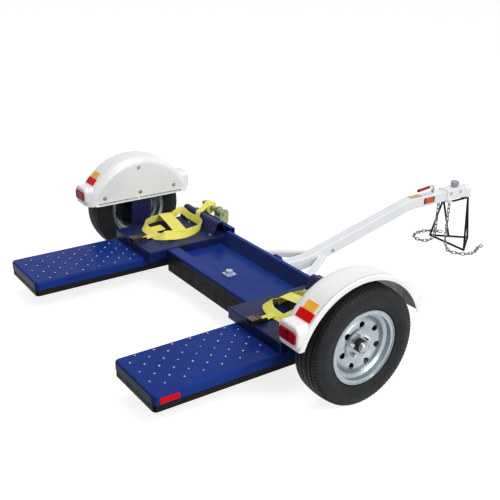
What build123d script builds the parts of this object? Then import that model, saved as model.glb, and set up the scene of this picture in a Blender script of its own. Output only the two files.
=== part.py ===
from build123d import *
from math import atan2, copysign, cos, hypot, pi, radians, sin, sqrt
import os

os.makedirs("parts", exist_ok=True)

# Wheels, from a 14 inch trailer tyre
TYRE_R = 316.6
TYRE_W = 185.0
TREAD_W = 150.0
TREAD_T = 15.5
CROWN_DROP = 7.5
SIDEWALL_T = 14.0
BEAD_R = 177.8
BEAD_W = 10.5
BEAD_GAP = 0.2
RIM_W = 140.0
RIM_T = 3.5
RIM_LIP_R = 198.0
RIM_LIP_H = 6.0
RIM_LIP_W = 7.0
RIM_WELL_R = 162.0
WELL_OUT_X = 36.0
WELL_IN_X = -20.0
WELL_SLOPE = 10.0
GROOVE_W = 8.0
GROOVE_DEPTH = 7.0
GROOVE_PLACES = (-0.3125, -0.1125, 0.1125, 0.3125)
HALF_TRACK = 1161.5
AXLE_Z = TYRE_R
DISC_T = 5.0
DISC_X = 28.0
DISC_CROWN = 12.0
DISC_FLAT_R = 76.0
DISC_WELD_W = 18.0
HAND_HOLES = 7
HAND_HOLE_R = 17.0
HAND_HOLE_CIRCLE_R = 113.0
LUG_COUNT = 5
LUG_CIRCLE_R = 57.15
LUG_R = 11.0
LUG_H = 20.0
HUB_R = 33.0
HUB_REACH = 62.0
HUB_BACK = -45.0
HUB_BARREL_R = 46.0
HUB_FLANGE_R = 74.0
HUB_FLANGE_T = 10.0
HUB_EDGE = 4.0
DRUM_R = 132.0
DRUM_T = 12.0
DISC_GAP = 0.3
SPINDLE_R = 19.0
SPINDLE_BOSS_R = 32.0
SPINDLE_STEP = 8.0
SPINDLE_SHORT = 6.0
BORE_GAP = 0.05
CAP_R = 27.0
CAP_H = 22.0
CAP_RIM = 5.0

# Axle frame under the bed
BEAM_W = 100.0
BEAM_Z0 = 105.0
BEAM_Z1 = 195.0
BEAM_WALL = 6.0
WHEEL_GAP = 16.5
RISER_T = 12.0
RISER_X = HALF_TRACK - TYRE_W / 2 - WHEEL_GAP - RISER_T
RISER_W = 140.0
RISER_SHOULDER = 128.5
CENTRE_PLATE_R = 48.0

# Fenders
FENDER_T = 4.0
FENDER_GAP = 94.4
FENDER_R = TYRE_R + FENDER_GAP
FENDER_DROP = 40.0
FENDER_MID_Z = AXLE_Z - FENDER_DROP
FENDER_X0 = RISER_X - FENDER_T
FENDER_OVERHANG = -32.5
FENDER_X1 = HALF_TRACK + TYRE_W / 2 + FENDER_OVERHANG
SHOULDER_W = 60.0
SHOULDER_H = 45.0
FENDER_CORNER = 10.0
FENDER_LIP = 27.5
FENDER_FOOT_Z = AXLE_Z + 83.0
FENDER_FLANGE = 16.0
FENDER_FLANGE_END = 72.0
RISER_TOP_GAP = 29.5
RISER_TOP = FENDER_MID_Z + FENDER_R - SHOULDER_H - RISER_TOP_GAP
RED_PATCH_DEG = 37.3
AMBER_PATCH_DEG = 44.2
PATCH_DEG = 6.6
RED_PATCH_W = 106.0
AMBER_PATCH_W = 76.0
PATCH_T = 2.5
PATCH_GAP = 0.1
PATCH_OFFSET = 9.0
POD_MID_X = HALF_TRACK - 20.5
POD_W = 150.0
POD_H = 116.0
POD_Y = FENDER_R - 10.0
POD_CLEAR = 4.5
POD_ROUND = 34.0
POD_EDGE = 13.0
POD_TOP = FENDER_MID_Z + FENDER_R * sin(radians(RED_PATCH_DEG)) - POD_CLEAR
LAMP_W = 122.0
LAMP_H = 60.0
LAMP_T = 8.0
LAMP_ROUND = 15.0
LAMP_EDGE = 4.0

# Bed: centre pan, two raised wheel pans, wheel stops
SHEET_T = 5.0
BEND_R = 6.0
PAN_HALF_W = 438.0
PAN_FLOOR_Z = 216.0
LIP_Z = 260.0
LIP_Y0 = -138.0
LIP_Y1 = -55.0
PAN_FLOOR_Y0 = -30.0
PAN_FLOOR_Y1 = 262.0
WALL_Y = 312.0
WALL_Z = 292.0
FLANGE_Y = 345.0
HEM = 30.0
RAMP_GAP = 123.5
RAMP_X1 = RISER_X - RAMP_GAP
WHEEL_PAN_INSET = 4.0
WHEEL_PAN_X1 = RAMP_X1 - WHEEL_PAN_INSET
WHEEL_PAN_Y0 = -262.0
WHEEL_PAN_Z = 266.0
WHEEL_PAN_CORNER = 12.0
WHEEL_PAN_EDGE = 7.0
STOP_X0 = 485.0
STOP_X1 = WHEEL_PAN_X1 - 2.0
STOP_Y0 = 232.0
STOP_Y1 = 338.0
STOP_TOP = 345.0
STOP_ROLL_R = 24.0
STOP_SINK = 12.0
STOP_CREST = (-14.0, 24.0)
BOLT_PLATE = 66.0
BOLT_PLATE_T = 8.0
BOLT_CORNER = 6.0
BOLT_HEX_R = 23.0
BOLT_HEX_H = 20.0
BOLT_Y = 40.0
BED_RAIL_X = (590.0, 810.0)
BED_RAIL_W = 60.0
BED_RAIL_WALL = 4.0
BED_BEAM_T = 6.0
BED_BEAM_BACK = 18.0
FRONT_BEAM_T = 22.0

# Ramps
RAMP_W = 409.0
RAMP_X0 = RAMP_X1 - RAMP_W
RAMP_Y0 = -980.0
RAMP_TOP = 205.0
RAMP_FLANGE = 50.0
RAMP_ROUND = 12.0
RAMP_CORNER = 26.0
RAIL_H = 37.0
RAIL_W = 45.0
RAIL_WALL = 4.0
RAIL_INSET = 3.0
RAMP_REFLECTOR_L = 105.0
RAMP_REFLECTOR_H = 32.0
RAMP_REFLECTOR_Y = 32.0
RAMP_REFLECTOR_Z = 5.0

# Tongue, braces and coupler
TUBE = 76.0
TUBE_WALL = 5.0
TUBE_ROUND = 8.0
TONGUE_UP = 11.0
TONGUE_Z = BEAM_Z1 - TUBE / 2 + TONGUE_UP
TONGUE_BEND_Y = 610.0
TONGUE_RISE_Y = 1528.0
TONGUE_END_Z = 398.0
TONGUE_END_Y = 2034.0
TONGUE_BEND_R = 160.0
BRACE = 40.0
BRACE_WALL = 4.0
BRACE_ROUND = 5.0
BRACE_X = 520.0
BRACE_Y = 737.0
BRACE_Z0 = 158.0
SADDLE_Y = 374.0
SADDLE_L = 60.0
SADDLE_T = 8.0
SADDLE_DROP = 20.0
SADDLE_LUG_T = 16.0
SADDLE_LUG_H = 44.0
SADDLE_LUG_ROUND = 24.0
MARKER_Y = 1695.0
MARKER_L = 100.0
MARKER_H = 42.0
MARKER_T = 5.5
MARKER_RISE = 4.0
MARKER_ROUND = 5.0
SLEEVE_T = 6.0
SLEEVE_Y0 = 1874.0
SLEEVE_ROUND = 8.0
SLEEVE_FOOT = 10.0
BALL_R = 25.4
BALL_GAP = 0.5
SOCKET_Y = 2112.0
SOCKET_Z = TONGUE_END_Z - 2.0
SOCKET_WALL = 18.0
NOSE_Y = SOCKET_Y + BALL_R + BALL_GAP + SOCKET_WALL
NOSE_BEVEL = 52.0
COUPLER_FOOT = SOCKET_Z - 42.0
COUPLER_TOP = TONGUE_END_Z + TUBE / 2 + SLEEVE_T
WHEEL_NUT_Y = 1991.0
SCREW_R = 9.0
SCREW_GAP = 0.06
KNOB_R = 30.0
KNOB_NECK_R = 16.0
KNOB_NECK_H = 9.0
KNOB_H = 40.0
KNOB_EDGE = 4.0
KNOB_FLUTES = 12
KNOB_FLUTE_R = 6.0
KNOB_FLUTE_OUT = 3.0
LEVER_Y = 1774.0
LEVER_Z = TONGUE_END_Z + 52.0
LEVER_ROD_R = 6.5
LEVER_BACK = 160.0
LEVER_UP = 36.0
LEVER_LEAN = 6.0
LEVER_DIP = 14.0
LEVER_BEND_R = 16.0
LEVER_EYE_R = 9.0
LEVER_EYE_W = 18.0
LEVER_PIN_R = 4.0
LEVER_PIN_GAP = 0.05
EAR_HALF_W = 17.0
EAR_T = 7.0
EAR_HALF_L = 14.0
EAR_TOP = 10.0
EAR_ROUND = 9.0
EAR_FLOOR = 2.0
GRIP_R = 11.0
GRIP_L = 115.0
GRIP_END = 2.0
GRIP_ROUND = 4.0

# Stand and chains
ROD_R = 7.5
FOOT_A = (-170.0, 1985.0)
FOOT_B = (170.0, 1975.0)
FOOT_C = (15.0, 2193.5)
TOP_HALF = 34.0
TOP_Y0 = 1929.0
TOP_Y1 = 2114.0
BALL_ROOM = 40.0
CHAIN_WIRE_R = 3.5
LINK_IN_L = 32.0
LINK_IN_W = 12.5
LINK_SLACK = 0.95
LINK_ROLL = pi / 4
LINKS_TO_ROLL = 8
CHAIN_LIFT = 0.3
CHAIN_LIE_Z = (LINK_IN_W / 2 + CHAIN_WIRE_R) * sin(LINK_ROLL) + CHAIN_WIRE_R + CHAIN_LIFT
CHAIN_TURN = 75.0
EYE_X = 50.0
EYE_Y = 1899.0
EYE_R = 12.0
EYE_WIRE_R = 4.5
EYE_PLATE_T = 8.0
EYE_PLATE_END = 20.0
EYE_PLATE_HALF = 16.0
EYE_PLATE_ROUND = 10.0
TONGUE_FOOT = TONGUE_END_Z - TUBE / 2
EYE_Z = TONGUE_FOOT - EYE_PLATE_T - EYE_R + EYE_WIRE_R / 2
NEAR_CHAIN = ((122, 1866), (182, 1878), (236, 1930), (240, 2010), (202, 2088), (188, 2155))
FAR_CHAIN = ((-132, 1842), (-190, 1842), (-236, 1884), (-254, 1950), (-244, 2024), (-206, 2080), (-146, 2116))

# Tyre straps, their winches and ratchet buckles
WEB_W = 48.0
WEB_T = 4.0
WEB_GAP = 0.5
NET_MID_X = 712.0
NET_MID_Y = 10.0
NET_HALF_L = 180.0
NET_HALF_W = 172.0
NET_LIFT = 24.0
NET_LEAN_DEG = 52.0
BAND_LIFT = 6.0
BAND_DEG = -24.0
BAND_OVER = 2.0
TAIL_LAP = 30.0
LEAD_X = NET_MID_X - 52.0
LEAD_LAP = 40.0
LEAD_LIFT = 4.0
ROLL_R = 42.0
SPOOL_R = 14.0
SPOOL_GAP = 0.2
WINCH_X0 = 616.0
WINCH_X1 = 846.0
WINCH_Y = 409.0
WINCH_RISE = 29.0
WINCH_Z = STOP_TOP + WINCH_RISE + WEB_T + WEB_GAP - ROLL_R
WINCH_DRUM_R = 30.0
WINCH_SPAN = 70.0
CHEEK_T = 6.0
CHEEK_REACH = 34.0
CHEEK_ROUND = 28.0
ROLL_ROOM = 14.0
SPOOL_END = 8.0
ROLL_X = WINCH_X1 - CHEEK_T - ROLL_ROOM - WEB_W / 2 - 2.0
WINCH_RAIL_D = 30.0
WINCH_RAIL_Z = (256.0, 304.0)
WINCH_RAIL_WALL = 4.0
BUCKLE_W = 64.0
BUCKLE_L = 96.0
BUCKLE_H = 26.0
BUCKLE_T = 3.0
BUCKLE_LAP = 24.0
BUCKLE_SPOOL_R = 9.0
BUCKLE_ROUND = 10.0
HANDLE_IN = 4.0
HANDLE_L = 78.0
HANDLE_BAR_R = 6.0

FRONT_Y = FOOT_C[1] + ROD_R
AXLE_Y = -(FRONT_Y + RAMP_Y0) / 2


def save(name, *solids):
    shape = solids[0] if len(solids) == 1 else Compound(children=list(solids))
    export_step(Pos(0, AXLE_Y, 0) * shape, f"parts/{name}.step")


def both(name, *solids):
    save(f"right_{name}", *solids)
    save(f"left_{name}", *[mirror(s, about=Plane.YZ) for s in solids])


def block(x0, x1, y0, y1, z0, z1):
    return Pos((x0 + x1) / 2, (y0 + y1) / 2, (z0 + z1) / 2) * Box(x1 - x0, y1 - y0, z1 - z0)


def shifted(points, d):
    # the same polyline moved d to its left, mitred at the corners
    normals = []
    for (x0, y0), (x1, y1) in zip(points, points[1:]):
        size = hypot(x1 - x0, y1 - y0)
        normals.append((-(y1 - y0) / size, (x1 - x0) / size))
    out = [(points[0][0] + normals[0][0] * d, points[0][1] + normals[0][1] * d)]
    for (px, py), (ax, ay), (bx, by) in zip(points[1:], normals, normals[1:]):
        k = d / (1 + ax * bx + ay * by)
        out.append((px + (ax + bx) * k, py + (ay + by) * k))
    out.append((points[-1][0] + normals[-1][0] * d, points[-1][1] + normals[-1][1] * d))
    return out


def bent(points, thick, bend):
    # a folded sheet seen end on: the stated points run along its upper side
    turns = []
    for (x0, y0), (x1, y1), (x2, y2) in zip(points, points[1:], points[2:]):
        turns.append((x1 - x0) * (y2 - y1) - (y1 - y0) * (x2 - x1))
    upper = [bend if t > 0 else bend + thick for t in turns]
    lower = [bend + thick if t > 0 else bend for t in turns]
    a = FilletPolyline(*points, radius=upper)
    b = FilletPolyline(*reversed(shifted(points, -thick)), radius=list(reversed(lower)))
    return make_face(Curve() + [a, Line(a @ 1, b @ 0), b, Line(b @ 1, a @ 0)])


def across(face, x0, x1):
    # a (y, z) face pulled from x0 to x1
    return extrude(Plane.YZ.offset(x0) * face, amount=x1 - x0)


def polygon(points):
    return make_face(Polyline(*points, close=True))


def turned(face, degrees=360.0):
    # a face drawn as (sideways, radius), turned round the wheel's axis
    return revolve(face, Axis.X, degrees)


def at_wheel(shape):
    return Pos(HALF_TRACK, 0, AXLE_Z) * shape


def at_fender(shape):
    return Pos(0, 0, FENDER_MID_Z) * shape


def rod(p, q, r):
    p = Vector(*p)
    q = Vector(*q)
    along = Plane(origin=p, z_dir=q - p)
    return along * Cylinder(r, (q - p).length, align=(Align.CENTER, Align.CENTER, Align.MIN))


def build_tyre():
    half = RIM_W / 2
    seat = BEAD_R + BEAD_GAP
    out = half - BEAD_GAP
    toe = out - BEAD_W
    heel = RIM_LIP_R + 1.5
    edge = TYRE_R - CROWN_DROP
    tread = TREAD_W / 2
    widest = TYRE_W / 2
    rise = edge - heel
    cavity = TYRE_R - TREAD_T
    side = Spline(
        (out, heel),
        (out + BEAD_W, heel + rise * 0.08),
        (widest, heel + rise * 0.46),
        (widest - SIDEWALL_T / 2, heel + rise * 0.81),
        (tread, edge),
    )
    inner = Spline(
        (toe, seat),
        (toe + RIM_T, heel + rise * 0.05),
        (widest - SIDEWALL_T, heel + rise * 0.45),
        (tread - RIM_T, cavity - SIDEWALL_T),
        (tread - 2 * SIDEWALL_T, cavity - RIM_T),
        (0, cavity),
    )
    crown = ThreePointArc((tread, edge), (tread / 2, TYRE_R - CROWN_DROP / 4), (0, TYRE_R))
    lines = [
        Line((toe, seat), (out, seat)),
        Line((out, seat), (out, heel)),
        side,
        crown,
        Line((0, TYRE_R), (0, cavity)),
        inner,
    ]
    half_tyre = turned(make_face(Curve() + lines))
    tyre = half_tyre + mirror(half_tyre, about=Plane.YZ)
    for place in GROOVE_PLACES:
        tyre -= turned(Pos(place * TREAD_W, TYRE_R) * Rectangle(GROOVE_W, 2 * GROOVE_DEPTH))
    both("tyre", at_wheel(tyre))


def rim_side(half, bend_x, slope, sign):
    # outer skin of one half of the barrel, from its lip to the drop well
    lip = half + RIM_LIP_W
    points = [
        (lip, RIM_LIP_R - RIM_LIP_H),
        (lip, RIM_LIP_R - RIM_LIP_H / 3),
        (lip - RIM_LIP_H / 2, RIM_LIP_R),
        (half + 1, RIM_LIP_R - 1),
        (half, RIM_LIP_R - RIM_LIP_H / 2),
        (half, BEAD_R),
        (bend_x + slope, BEAD_R),
        (bend_x, RIM_WELL_R),
    ]
    return [(sign * x, r) for x, r in points]


def build_rim():
    half = RIM_W / 2
    out_side = rim_side(half, WELL_OUT_X, WELL_SLOPE, 1)
    in_side = rim_side(half, -WELL_IN_X, WELL_SLOPE, -1)
    inside = [
        (-half - RIM_T, RIM_LIP_R - RIM_LIP_H),
        (-half - RIM_T, BEAD_R - RIM_T),
        (WELL_IN_X - WELL_SLOPE, BEAD_R - RIM_T),
        (WELL_IN_X, RIM_WELL_R - RIM_T),
        (WELL_OUT_X, RIM_WELL_R - RIM_T),
        (WELL_OUT_X + WELL_SLOPE, BEAD_R - RIM_T),
        (half + RIM_T, BEAD_R - RIM_T),
        (half + RIM_T, RIM_LIP_R - RIM_LIP_H),
    ]
    barrel = turned(polygon(out_side + in_side[::-1] + inside))
    face_x = DISC_X + DISC_T
    weld_r = RIM_WELL_R - RIM_T
    crest_r = (DISC_FLAT_R + weld_r) / 2
    back_x = DISC_X - DISC_WELD_W
    front = Spline(
        (face_x, DISC_FLAT_R),
        (face_x + DISC_CROWN / 2, crest_r - DISC_CROWN * 2),
        (face_x + DISC_CROWN, crest_r),
        (face_x + DISC_CROWN / 2, crest_r + DISC_CROWN * 1.5),
        (DISC_X, weld_r - DISC_T),
    )
    back = Spline(
        (back_x, weld_r - DISC_T),
        (DISC_X - DISC_T, weld_r - 2 * DISC_T),
        (DISC_X + DISC_CROWN / 2, crest_r + DISC_CROWN),
        (DISC_X + DISC_CROWN, crest_r - DISC_CROWN / 2),
        (DISC_X + DISC_CROWN / 2, crest_r - DISC_CROWN * 2),
        (DISC_X, DISC_FLAT_R),
    )
    eye = HUB_R + DISC_GAP
    lines = [
        Line((DISC_X, eye), (face_x, eye)),
        Line((face_x, eye), (face_x, DISC_FLAT_R)),
        front,
        Line((DISC_X, weld_r - DISC_T), (DISC_X, weld_r + 1)),
        Line((DISC_X, weld_r + 1), (back_x, weld_r + 1)),
        Line((back_x, weld_r + 1), (back_x, weld_r - DISC_T)),
        back,
        Line((DISC_X, DISC_FLAT_R), (DISC_X, eye)),
    ]
    rim = barrel + turned(make_face(Curve() + lines))
    drill = Pos(face_x, HAND_HOLE_CIRCLE_R, 0) * Rot(0, 90, 0) * Cylinder(HAND_HOLE_R, 8 * DISC_T)
    for i in range(HAND_HOLES):
        rim -= Rot(90 + i * 360 / HAND_HOLES, 0, 0) * drill
    both("rim", at_wheel(rim))


def build_hub():
    bore = SPINDLE_R + BORE_GAP
    flange_x = DISC_X - HUB_FLANGE_T
    hub_points = [
        (HUB_BACK, bore), (HUB_BACK, HUB_BARREL_R), (flange_x - DRUM_T, HUB_BARREL_R),
        (flange_x - DRUM_T, DRUM_R), (flange_x, DRUM_R), (flange_x, HUB_FLANGE_R),
        (DISC_X, HUB_FLANGE_R), (DISC_X, HUB_R), (HUB_REACH - HUB_EDGE, HUB_R),
        (HUB_REACH, HUB_R - HUB_EDGE), (HUB_REACH, bore),
    ]
    both("hub", at_wheel(turned(polygon(hub_points))))

    end = HUB_REACH + CAP_H
    cap_points = [
        (HUB_REACH, 0), (HUB_REACH, CAP_R), (HUB_REACH + CAP_RIM, CAP_R),
        (HUB_REACH + CAP_RIM, CAP_R - CAP_RIM), (end - CAP_RIM, CAP_R - CAP_RIM),
    ]
    flat = (end, CAP_R / 3)
    crown = ThreePointArc(cap_points[-1], (end - CAP_RIM / 4, CAP_R * 0.6), flat)
    outline = Curve() + [Polyline(*cap_points), crown, Polyline(flat, (end, 0), (HUB_REACH, 0))]
    both("dust_cap", at_wheel(turned(make_face(outline))))

    nuts = []
    nut = Pos(DISC_X + DISC_T, LUG_CIRCLE_R, 0) * (Plane.YZ * extrude(RegularPolygon(LUG_R, 6), amount=LUG_H))
    for i in range(LUG_COUNT):
        nuts.append(at_wheel(Rot(90 + i * 360 / LUG_COUNT, 0, 0) * nut))
    both("lug_nuts", *nuts)


def build_axle():
    high = BEAM_Z1 - BEAM_Z0
    tube = Rectangle(BEAM_W, high) - Rectangle(BEAM_W - 2 * BEAM_WALL, high - 2 * BEAM_WALL)
    save("axle_beam", across(Pos(0, (BEAM_Z0 + BEAM_Z1) / 2) * tube, -RISER_X, RISER_X))

    w = RISER_W / 2
    knee = AXLE_Z + RISER_SHOULDER
    outline = [(-w, BEAM_Z0), (w, BEAM_Z0), (w, knee), (w / 2, RISER_TOP), (-w / 2, RISER_TOP), (-w, knee)]
    both("axle_riser", across(polygon(outline), RISER_X, RISER_X + RISER_T))

    root = RISER_X + RISER_T - HALF_TRACK
    step = HUB_BACK - SPINDLE_STEP
    tip = HUB_REACH - SPINDLE_SHORT
    spindle_points = [
        (root, 0), (root, SPINDLE_BOSS_R), (step, SPINDLE_BOSS_R),
        (step, SPINDLE_R), (tip, SPINDLE_R), (tip, 0),
    ]
    spindle = at_wheel(turned(polygon(spindle_points)))
    save("spindles", spindle, mirror(spindle, about=Plane.YZ))

    plate = extrude(Circle(CENTRE_PLATE_R), amount=PAN_FLOOR_Z - SHEET_T - BEAM_Z1)
    save("centre_plate", Pos(0, 0, BEAM_Z1) * plate)


def stop_path():
    # upper side of the wheel stop, its feet run on below the pan's top
    mid = (STOP_Y0 + STOP_Y1) / 2
    foot = WHEEL_PAN_Z - STOP_SINK
    lean = SHEET_T
    return [
        (STOP_Y0 - lean, foot),
        (mid + STOP_CREST[0], STOP_TOP),
        (mid + STOP_CREST[1], STOP_TOP),
        (STOP_Y1 + lean, foot),
    ]


def build_bed():
    path = [
        (LIP_Y0, LIP_Z - HEM), (LIP_Y0, LIP_Z), (LIP_Y1, LIP_Z), (PAN_FLOOR_Y0, PAN_FLOOR_Z),
        (PAN_FLOOR_Y1, PAN_FLOOR_Z), (WALL_Y, WALL_Z), (FLANGE_Y, WALL_Z), (FLANGE_Y, WALL_Z - HEM),
    ]
    save("bed_pan", across(bent(path, SHEET_T, BEND_R), -PAN_HALF_W, PAN_HALF_W))

    half = BOLT_PLATE / 2
    top = PAN_FLOOR_Z + BOLT_PLATE_T
    bolt = block(-half, half, -half, half, PAN_FLOOR_Z, top)
    bolt = chamfer(bolt.edges().filter_by(Axis.Z), BOLT_CORNER)
    bolt += Pos(0, 0, top) * extrude(RegularPolygon(BOLT_HEX_R, 6), amount=BOLT_HEX_H)
    save("pan_bolt", Pos(0, BOLT_Y, 0) * bolt)

    build_wheel_pan()

    stop = across(bent(stop_path(), SHEET_T, STOP_ROLL_R - SHEET_T), STOP_X0, STOP_X1)
    room = block(STOP_X0, STOP_X1, 0, 2 * FLANGE_Y, WHEEL_PAN_Z, 2 * STOP_TOP)
    both("wheel_stop", stop & room)

    build_bed_frame()


def build_wheel_pan():
    x0 = PAN_HALF_W
    pan = block(x0, WHEEL_PAN_X1, WHEEL_PAN_Y0, FLANGE_Y, RAMP_TOP, WHEEL_PAN_Z)
    pan = fillet(pan.edges().filter_by(Axis.Z), WHEEL_PAN_CORNER)
    pan = fillet(pan.faces().sort_by(Axis.Z)[-1].edges(), WHEEL_PAN_EDGE)
    t = SHEET_T
    hollow = block(x0 + t, WHEEL_PAN_X1 - t, WHEEL_PAN_Y0 + t, FLANGE_Y - t, RAMP_TOP - t, WHEEL_PAN_Z - t)
    pan -= fillet(hollow.edges().filter_by(Axis.Z), WHEEL_PAN_CORNER - t)
    both("wheel_pan", pan)


def build_bed_frame():
    high = WHEEL_PAN_Z - SHEET_T - BEAM_Z1
    wall = 2 * BED_RAIL_WALL
    section = Rectangle(BED_RAIL_W, high) - Rectangle(BED_RAIL_W - wall, high - wall)
    y0 = -BEAM_W / 2
    y1 = FLANGE_Y - SHEET_T
    bar = extrude(Plane.XZ * section, amount=y0 - y1)
    rails = [Pos(sign * x, y0, BEAM_Z1 + high / 2) * bar for x in BED_RAIL_X for sign in (-1, 1)]
    save("bed_rails", *rails)

    y0 = LIP_Y0 + SHEET_T
    y1 = LIP_Y1 - BED_BEAM_BACK
    z0 = RAMP_TOP - RAMP_FLANGE - RAIL_H
    z1 = LIP_Z - SHEET_T
    t = BED_BEAM_T
    channel = [
        (y0, z1 - BEND_R), (y0 + BEND_R, z1), (y1, z1), (y1, z1 - t), (y0 + t, z1 - t),
        (y0 + t, z0 + t), (y1, z0 + t), (y1, z0), (y0, z0),
    ]
    save("bed_rear_beam", across(polygon(channel), -PAN_HALF_W, PAN_HALF_W))

    y1 = FLANGE_Y - SHEET_T
    z0 = TONGUE_Z + TUBE / 2
    front = block(-PAN_HALF_W, PAN_HALF_W, y1 - FRONT_BEAM_T, y1, z0, WALL_Z - SHEET_T)
    under_bend = front.edges().filter_by(Axis.X).group_by(Axis.Z)[-1].sort_by(Axis.Y)[-1]
    save("bed_front_beam", fillet(under_bend, BEND_R + 1))


def build_ramps():
    z0 = RAMP_TOP - RAMP_FLANGE
    y1 = -BEAM_W / 2
    t = SHEET_T
    ramp = block(RAMP_X0, RAMP_X1, RAMP_Y0, y1, z0, RAMP_TOP)
    ramp = fillet(ramp.edges().filter_by(Axis.Z).sort_by(Axis.Y)[:2], RAMP_CORNER)
    top_edges = ramp.faces().sort_by(Axis.Z)[-1].edges()
    ramp = fillet(top_edges.filter_by(lambda e: (e @ 0.5).Y < y1 - 1), RAMP_ROUND)
    hollow = block(RAMP_X0 + t, RAMP_X1 - t, RAMP_Y0 + t, y1 + t, z0 - t, RAMP_TOP - t)
    ramp -= fillet(hollow.edges().filter_by(Axis.Z).sort_by(Axis.Y)[:2], RAMP_CORNER - t)
    both("ramp", ramp)

    x0 = RAMP_X0 + RAIL_INSET
    x1 = RAMP_X1 - RAIL_INSET
    y0 = RAMP_Y0 + RAIL_INSET
    w = RAIL_WALL
    rails = block(x0, x1, y0, y1, z0 - RAIL_H, z0)
    rails = fillet(rails.edges().filter_by(Axis.Z).sort_by(Axis.Y)[:2], RAMP_CORNER - RAIL_INSET)
    rails -= block(x0 + RAIL_W, x1 - RAIL_W, y0 + RAIL_W, y1 + w, z0 - RAIL_H - w, z0 + w)
    rails -= block(x0 + w, x1 - w, y0 + w, y1 + w, z0 - RAIL_H + w, z0 - w)
    both("ramp_rails", rails)

    y0 = RAMP_Y0 + RAMP_REFLECTOR_Y
    z0 += RAMP_REFLECTOR_Z
    patch = block(RAMP_X1, RAMP_X1 + PATCH_T, y0, y0 + RAMP_REFLECTOR_L, z0, z0 + RAMP_REFLECTOR_H)
    save("ramp_reflectors", patch, mirror(patch, about=Plane.YZ))


def fender_body(grow):
    # the fender's full mass; grow < 0 is the hollow inside its wall
    x0 = FENDER_X0 - grow
    x1 = FENDER_X1 + grow
    r = FENDER_R + grow
    cx = FENDER_X0 + SHOULDER_W
    cr = FENDER_R - SHOULDER_H
    shoulder = EllipticalCenterArc(
        (cx, cr), SHOULDER_W + grow, SHOULDER_H + grow, start_angle=90, arc_size=90
    )
    corner = FENDER_CORNER + grow
    kx = x1 - corner
    kr = r - corner
    bow = corner * sin(pi / 4)
    lines = [
        Line((x0, 0), (x0, cr)),
        shoulder,
        Line((cx, r), (kx, r)),
        ThreePointArc((kx, r), (kx + bow, kr + bow), (x1, kr)),
        Line((x1, kr), (x1, 0)),
        Line((x1, 0), (x0, 0)),
    ]
    body = at_fender(turned(make_face(Curve() + lines), 180))
    half = POD_W / 2 + grow
    low = POD_TOP - POD_H - grow
    pod = block(POD_MID_X - half, POD_MID_X + half, -POD_Y - grow, -POD_Y / 2, low, POD_TOP + grow)
    pod = fillet(pod.edges().filter_by(Axis.Y), POD_ROUND + grow)
    pod = fillet(pod.faces().sort_by(Axis.Y)[0].edges(), POD_EDGE + grow / 2)
    return body + pod + mirror(pod, about=Plane.XZ)


def build_fenders():
    shell = fender_body(0) - fender_body(-FENDER_T)
    open_r = FENDER_R - FENDER_LIP
    arch = turned(Pos(FENDER_X1, open_r / 2) * Rectangle(4 * FENDER_T, open_r), 180)
    shell -= at_fender(arch)
    wide = 4 * FENDER_R
    under = Box(wide, wide, wide, align=(Align.CENTER, Align.CENTER, Align.MAX))
    shell -= Pos(FENDER_X0, 0, FENDER_FOOT_Z) * under
    reach = FENDER_R - FENDER_FLANGE_END
    t = FENDER_T
    shell += block(FENDER_X0 - FENDER_FLANGE, FENDER_X0 + t, -reach, reach, FENDER_FOOT_Z, FENDER_FOOT_Z + t)
    both("fender", shell)

    half = LAMP_W / 2
    mid_z = POD_TOP - POD_H / 2
    low = mid_z - LAMP_H / 2
    lamp = block(POD_MID_X - half, POD_MID_X + half, -POD_Y - LAMP_T, -POD_Y, low, low + LAMP_H)
    lamp = fillet(lamp.edges().filter_by(Axis.Y), LAMP_ROUND)
    lamp = fillet(lamp.faces().sort_by(Axis.Y)[0].edges(), LAMP_EDGE)
    save("tail_lamps", lamp, mirror(lamp, about=Plane.YZ))

    red = ("red", RED_PATCH_W, RED_PATCH_DEG)
    amber = ("amber", AMBER_PATCH_W, AMBER_PATCH_DEG)
    for name, width, start in (red, amber):
        strip = Pos(POD_MID_X + PATCH_OFFSET, FENDER_R + PATCH_GAP + PATCH_T / 2) * Rectangle(width, PATCH_T)
        patch = at_fender(Rot(180 - start - PATCH_DEG, 0, 0) * turned(strip, PATCH_DEG))
        save(f"fender_{name}_reflectors", patch, mirror(patch, about=Plane.YZ))


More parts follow.
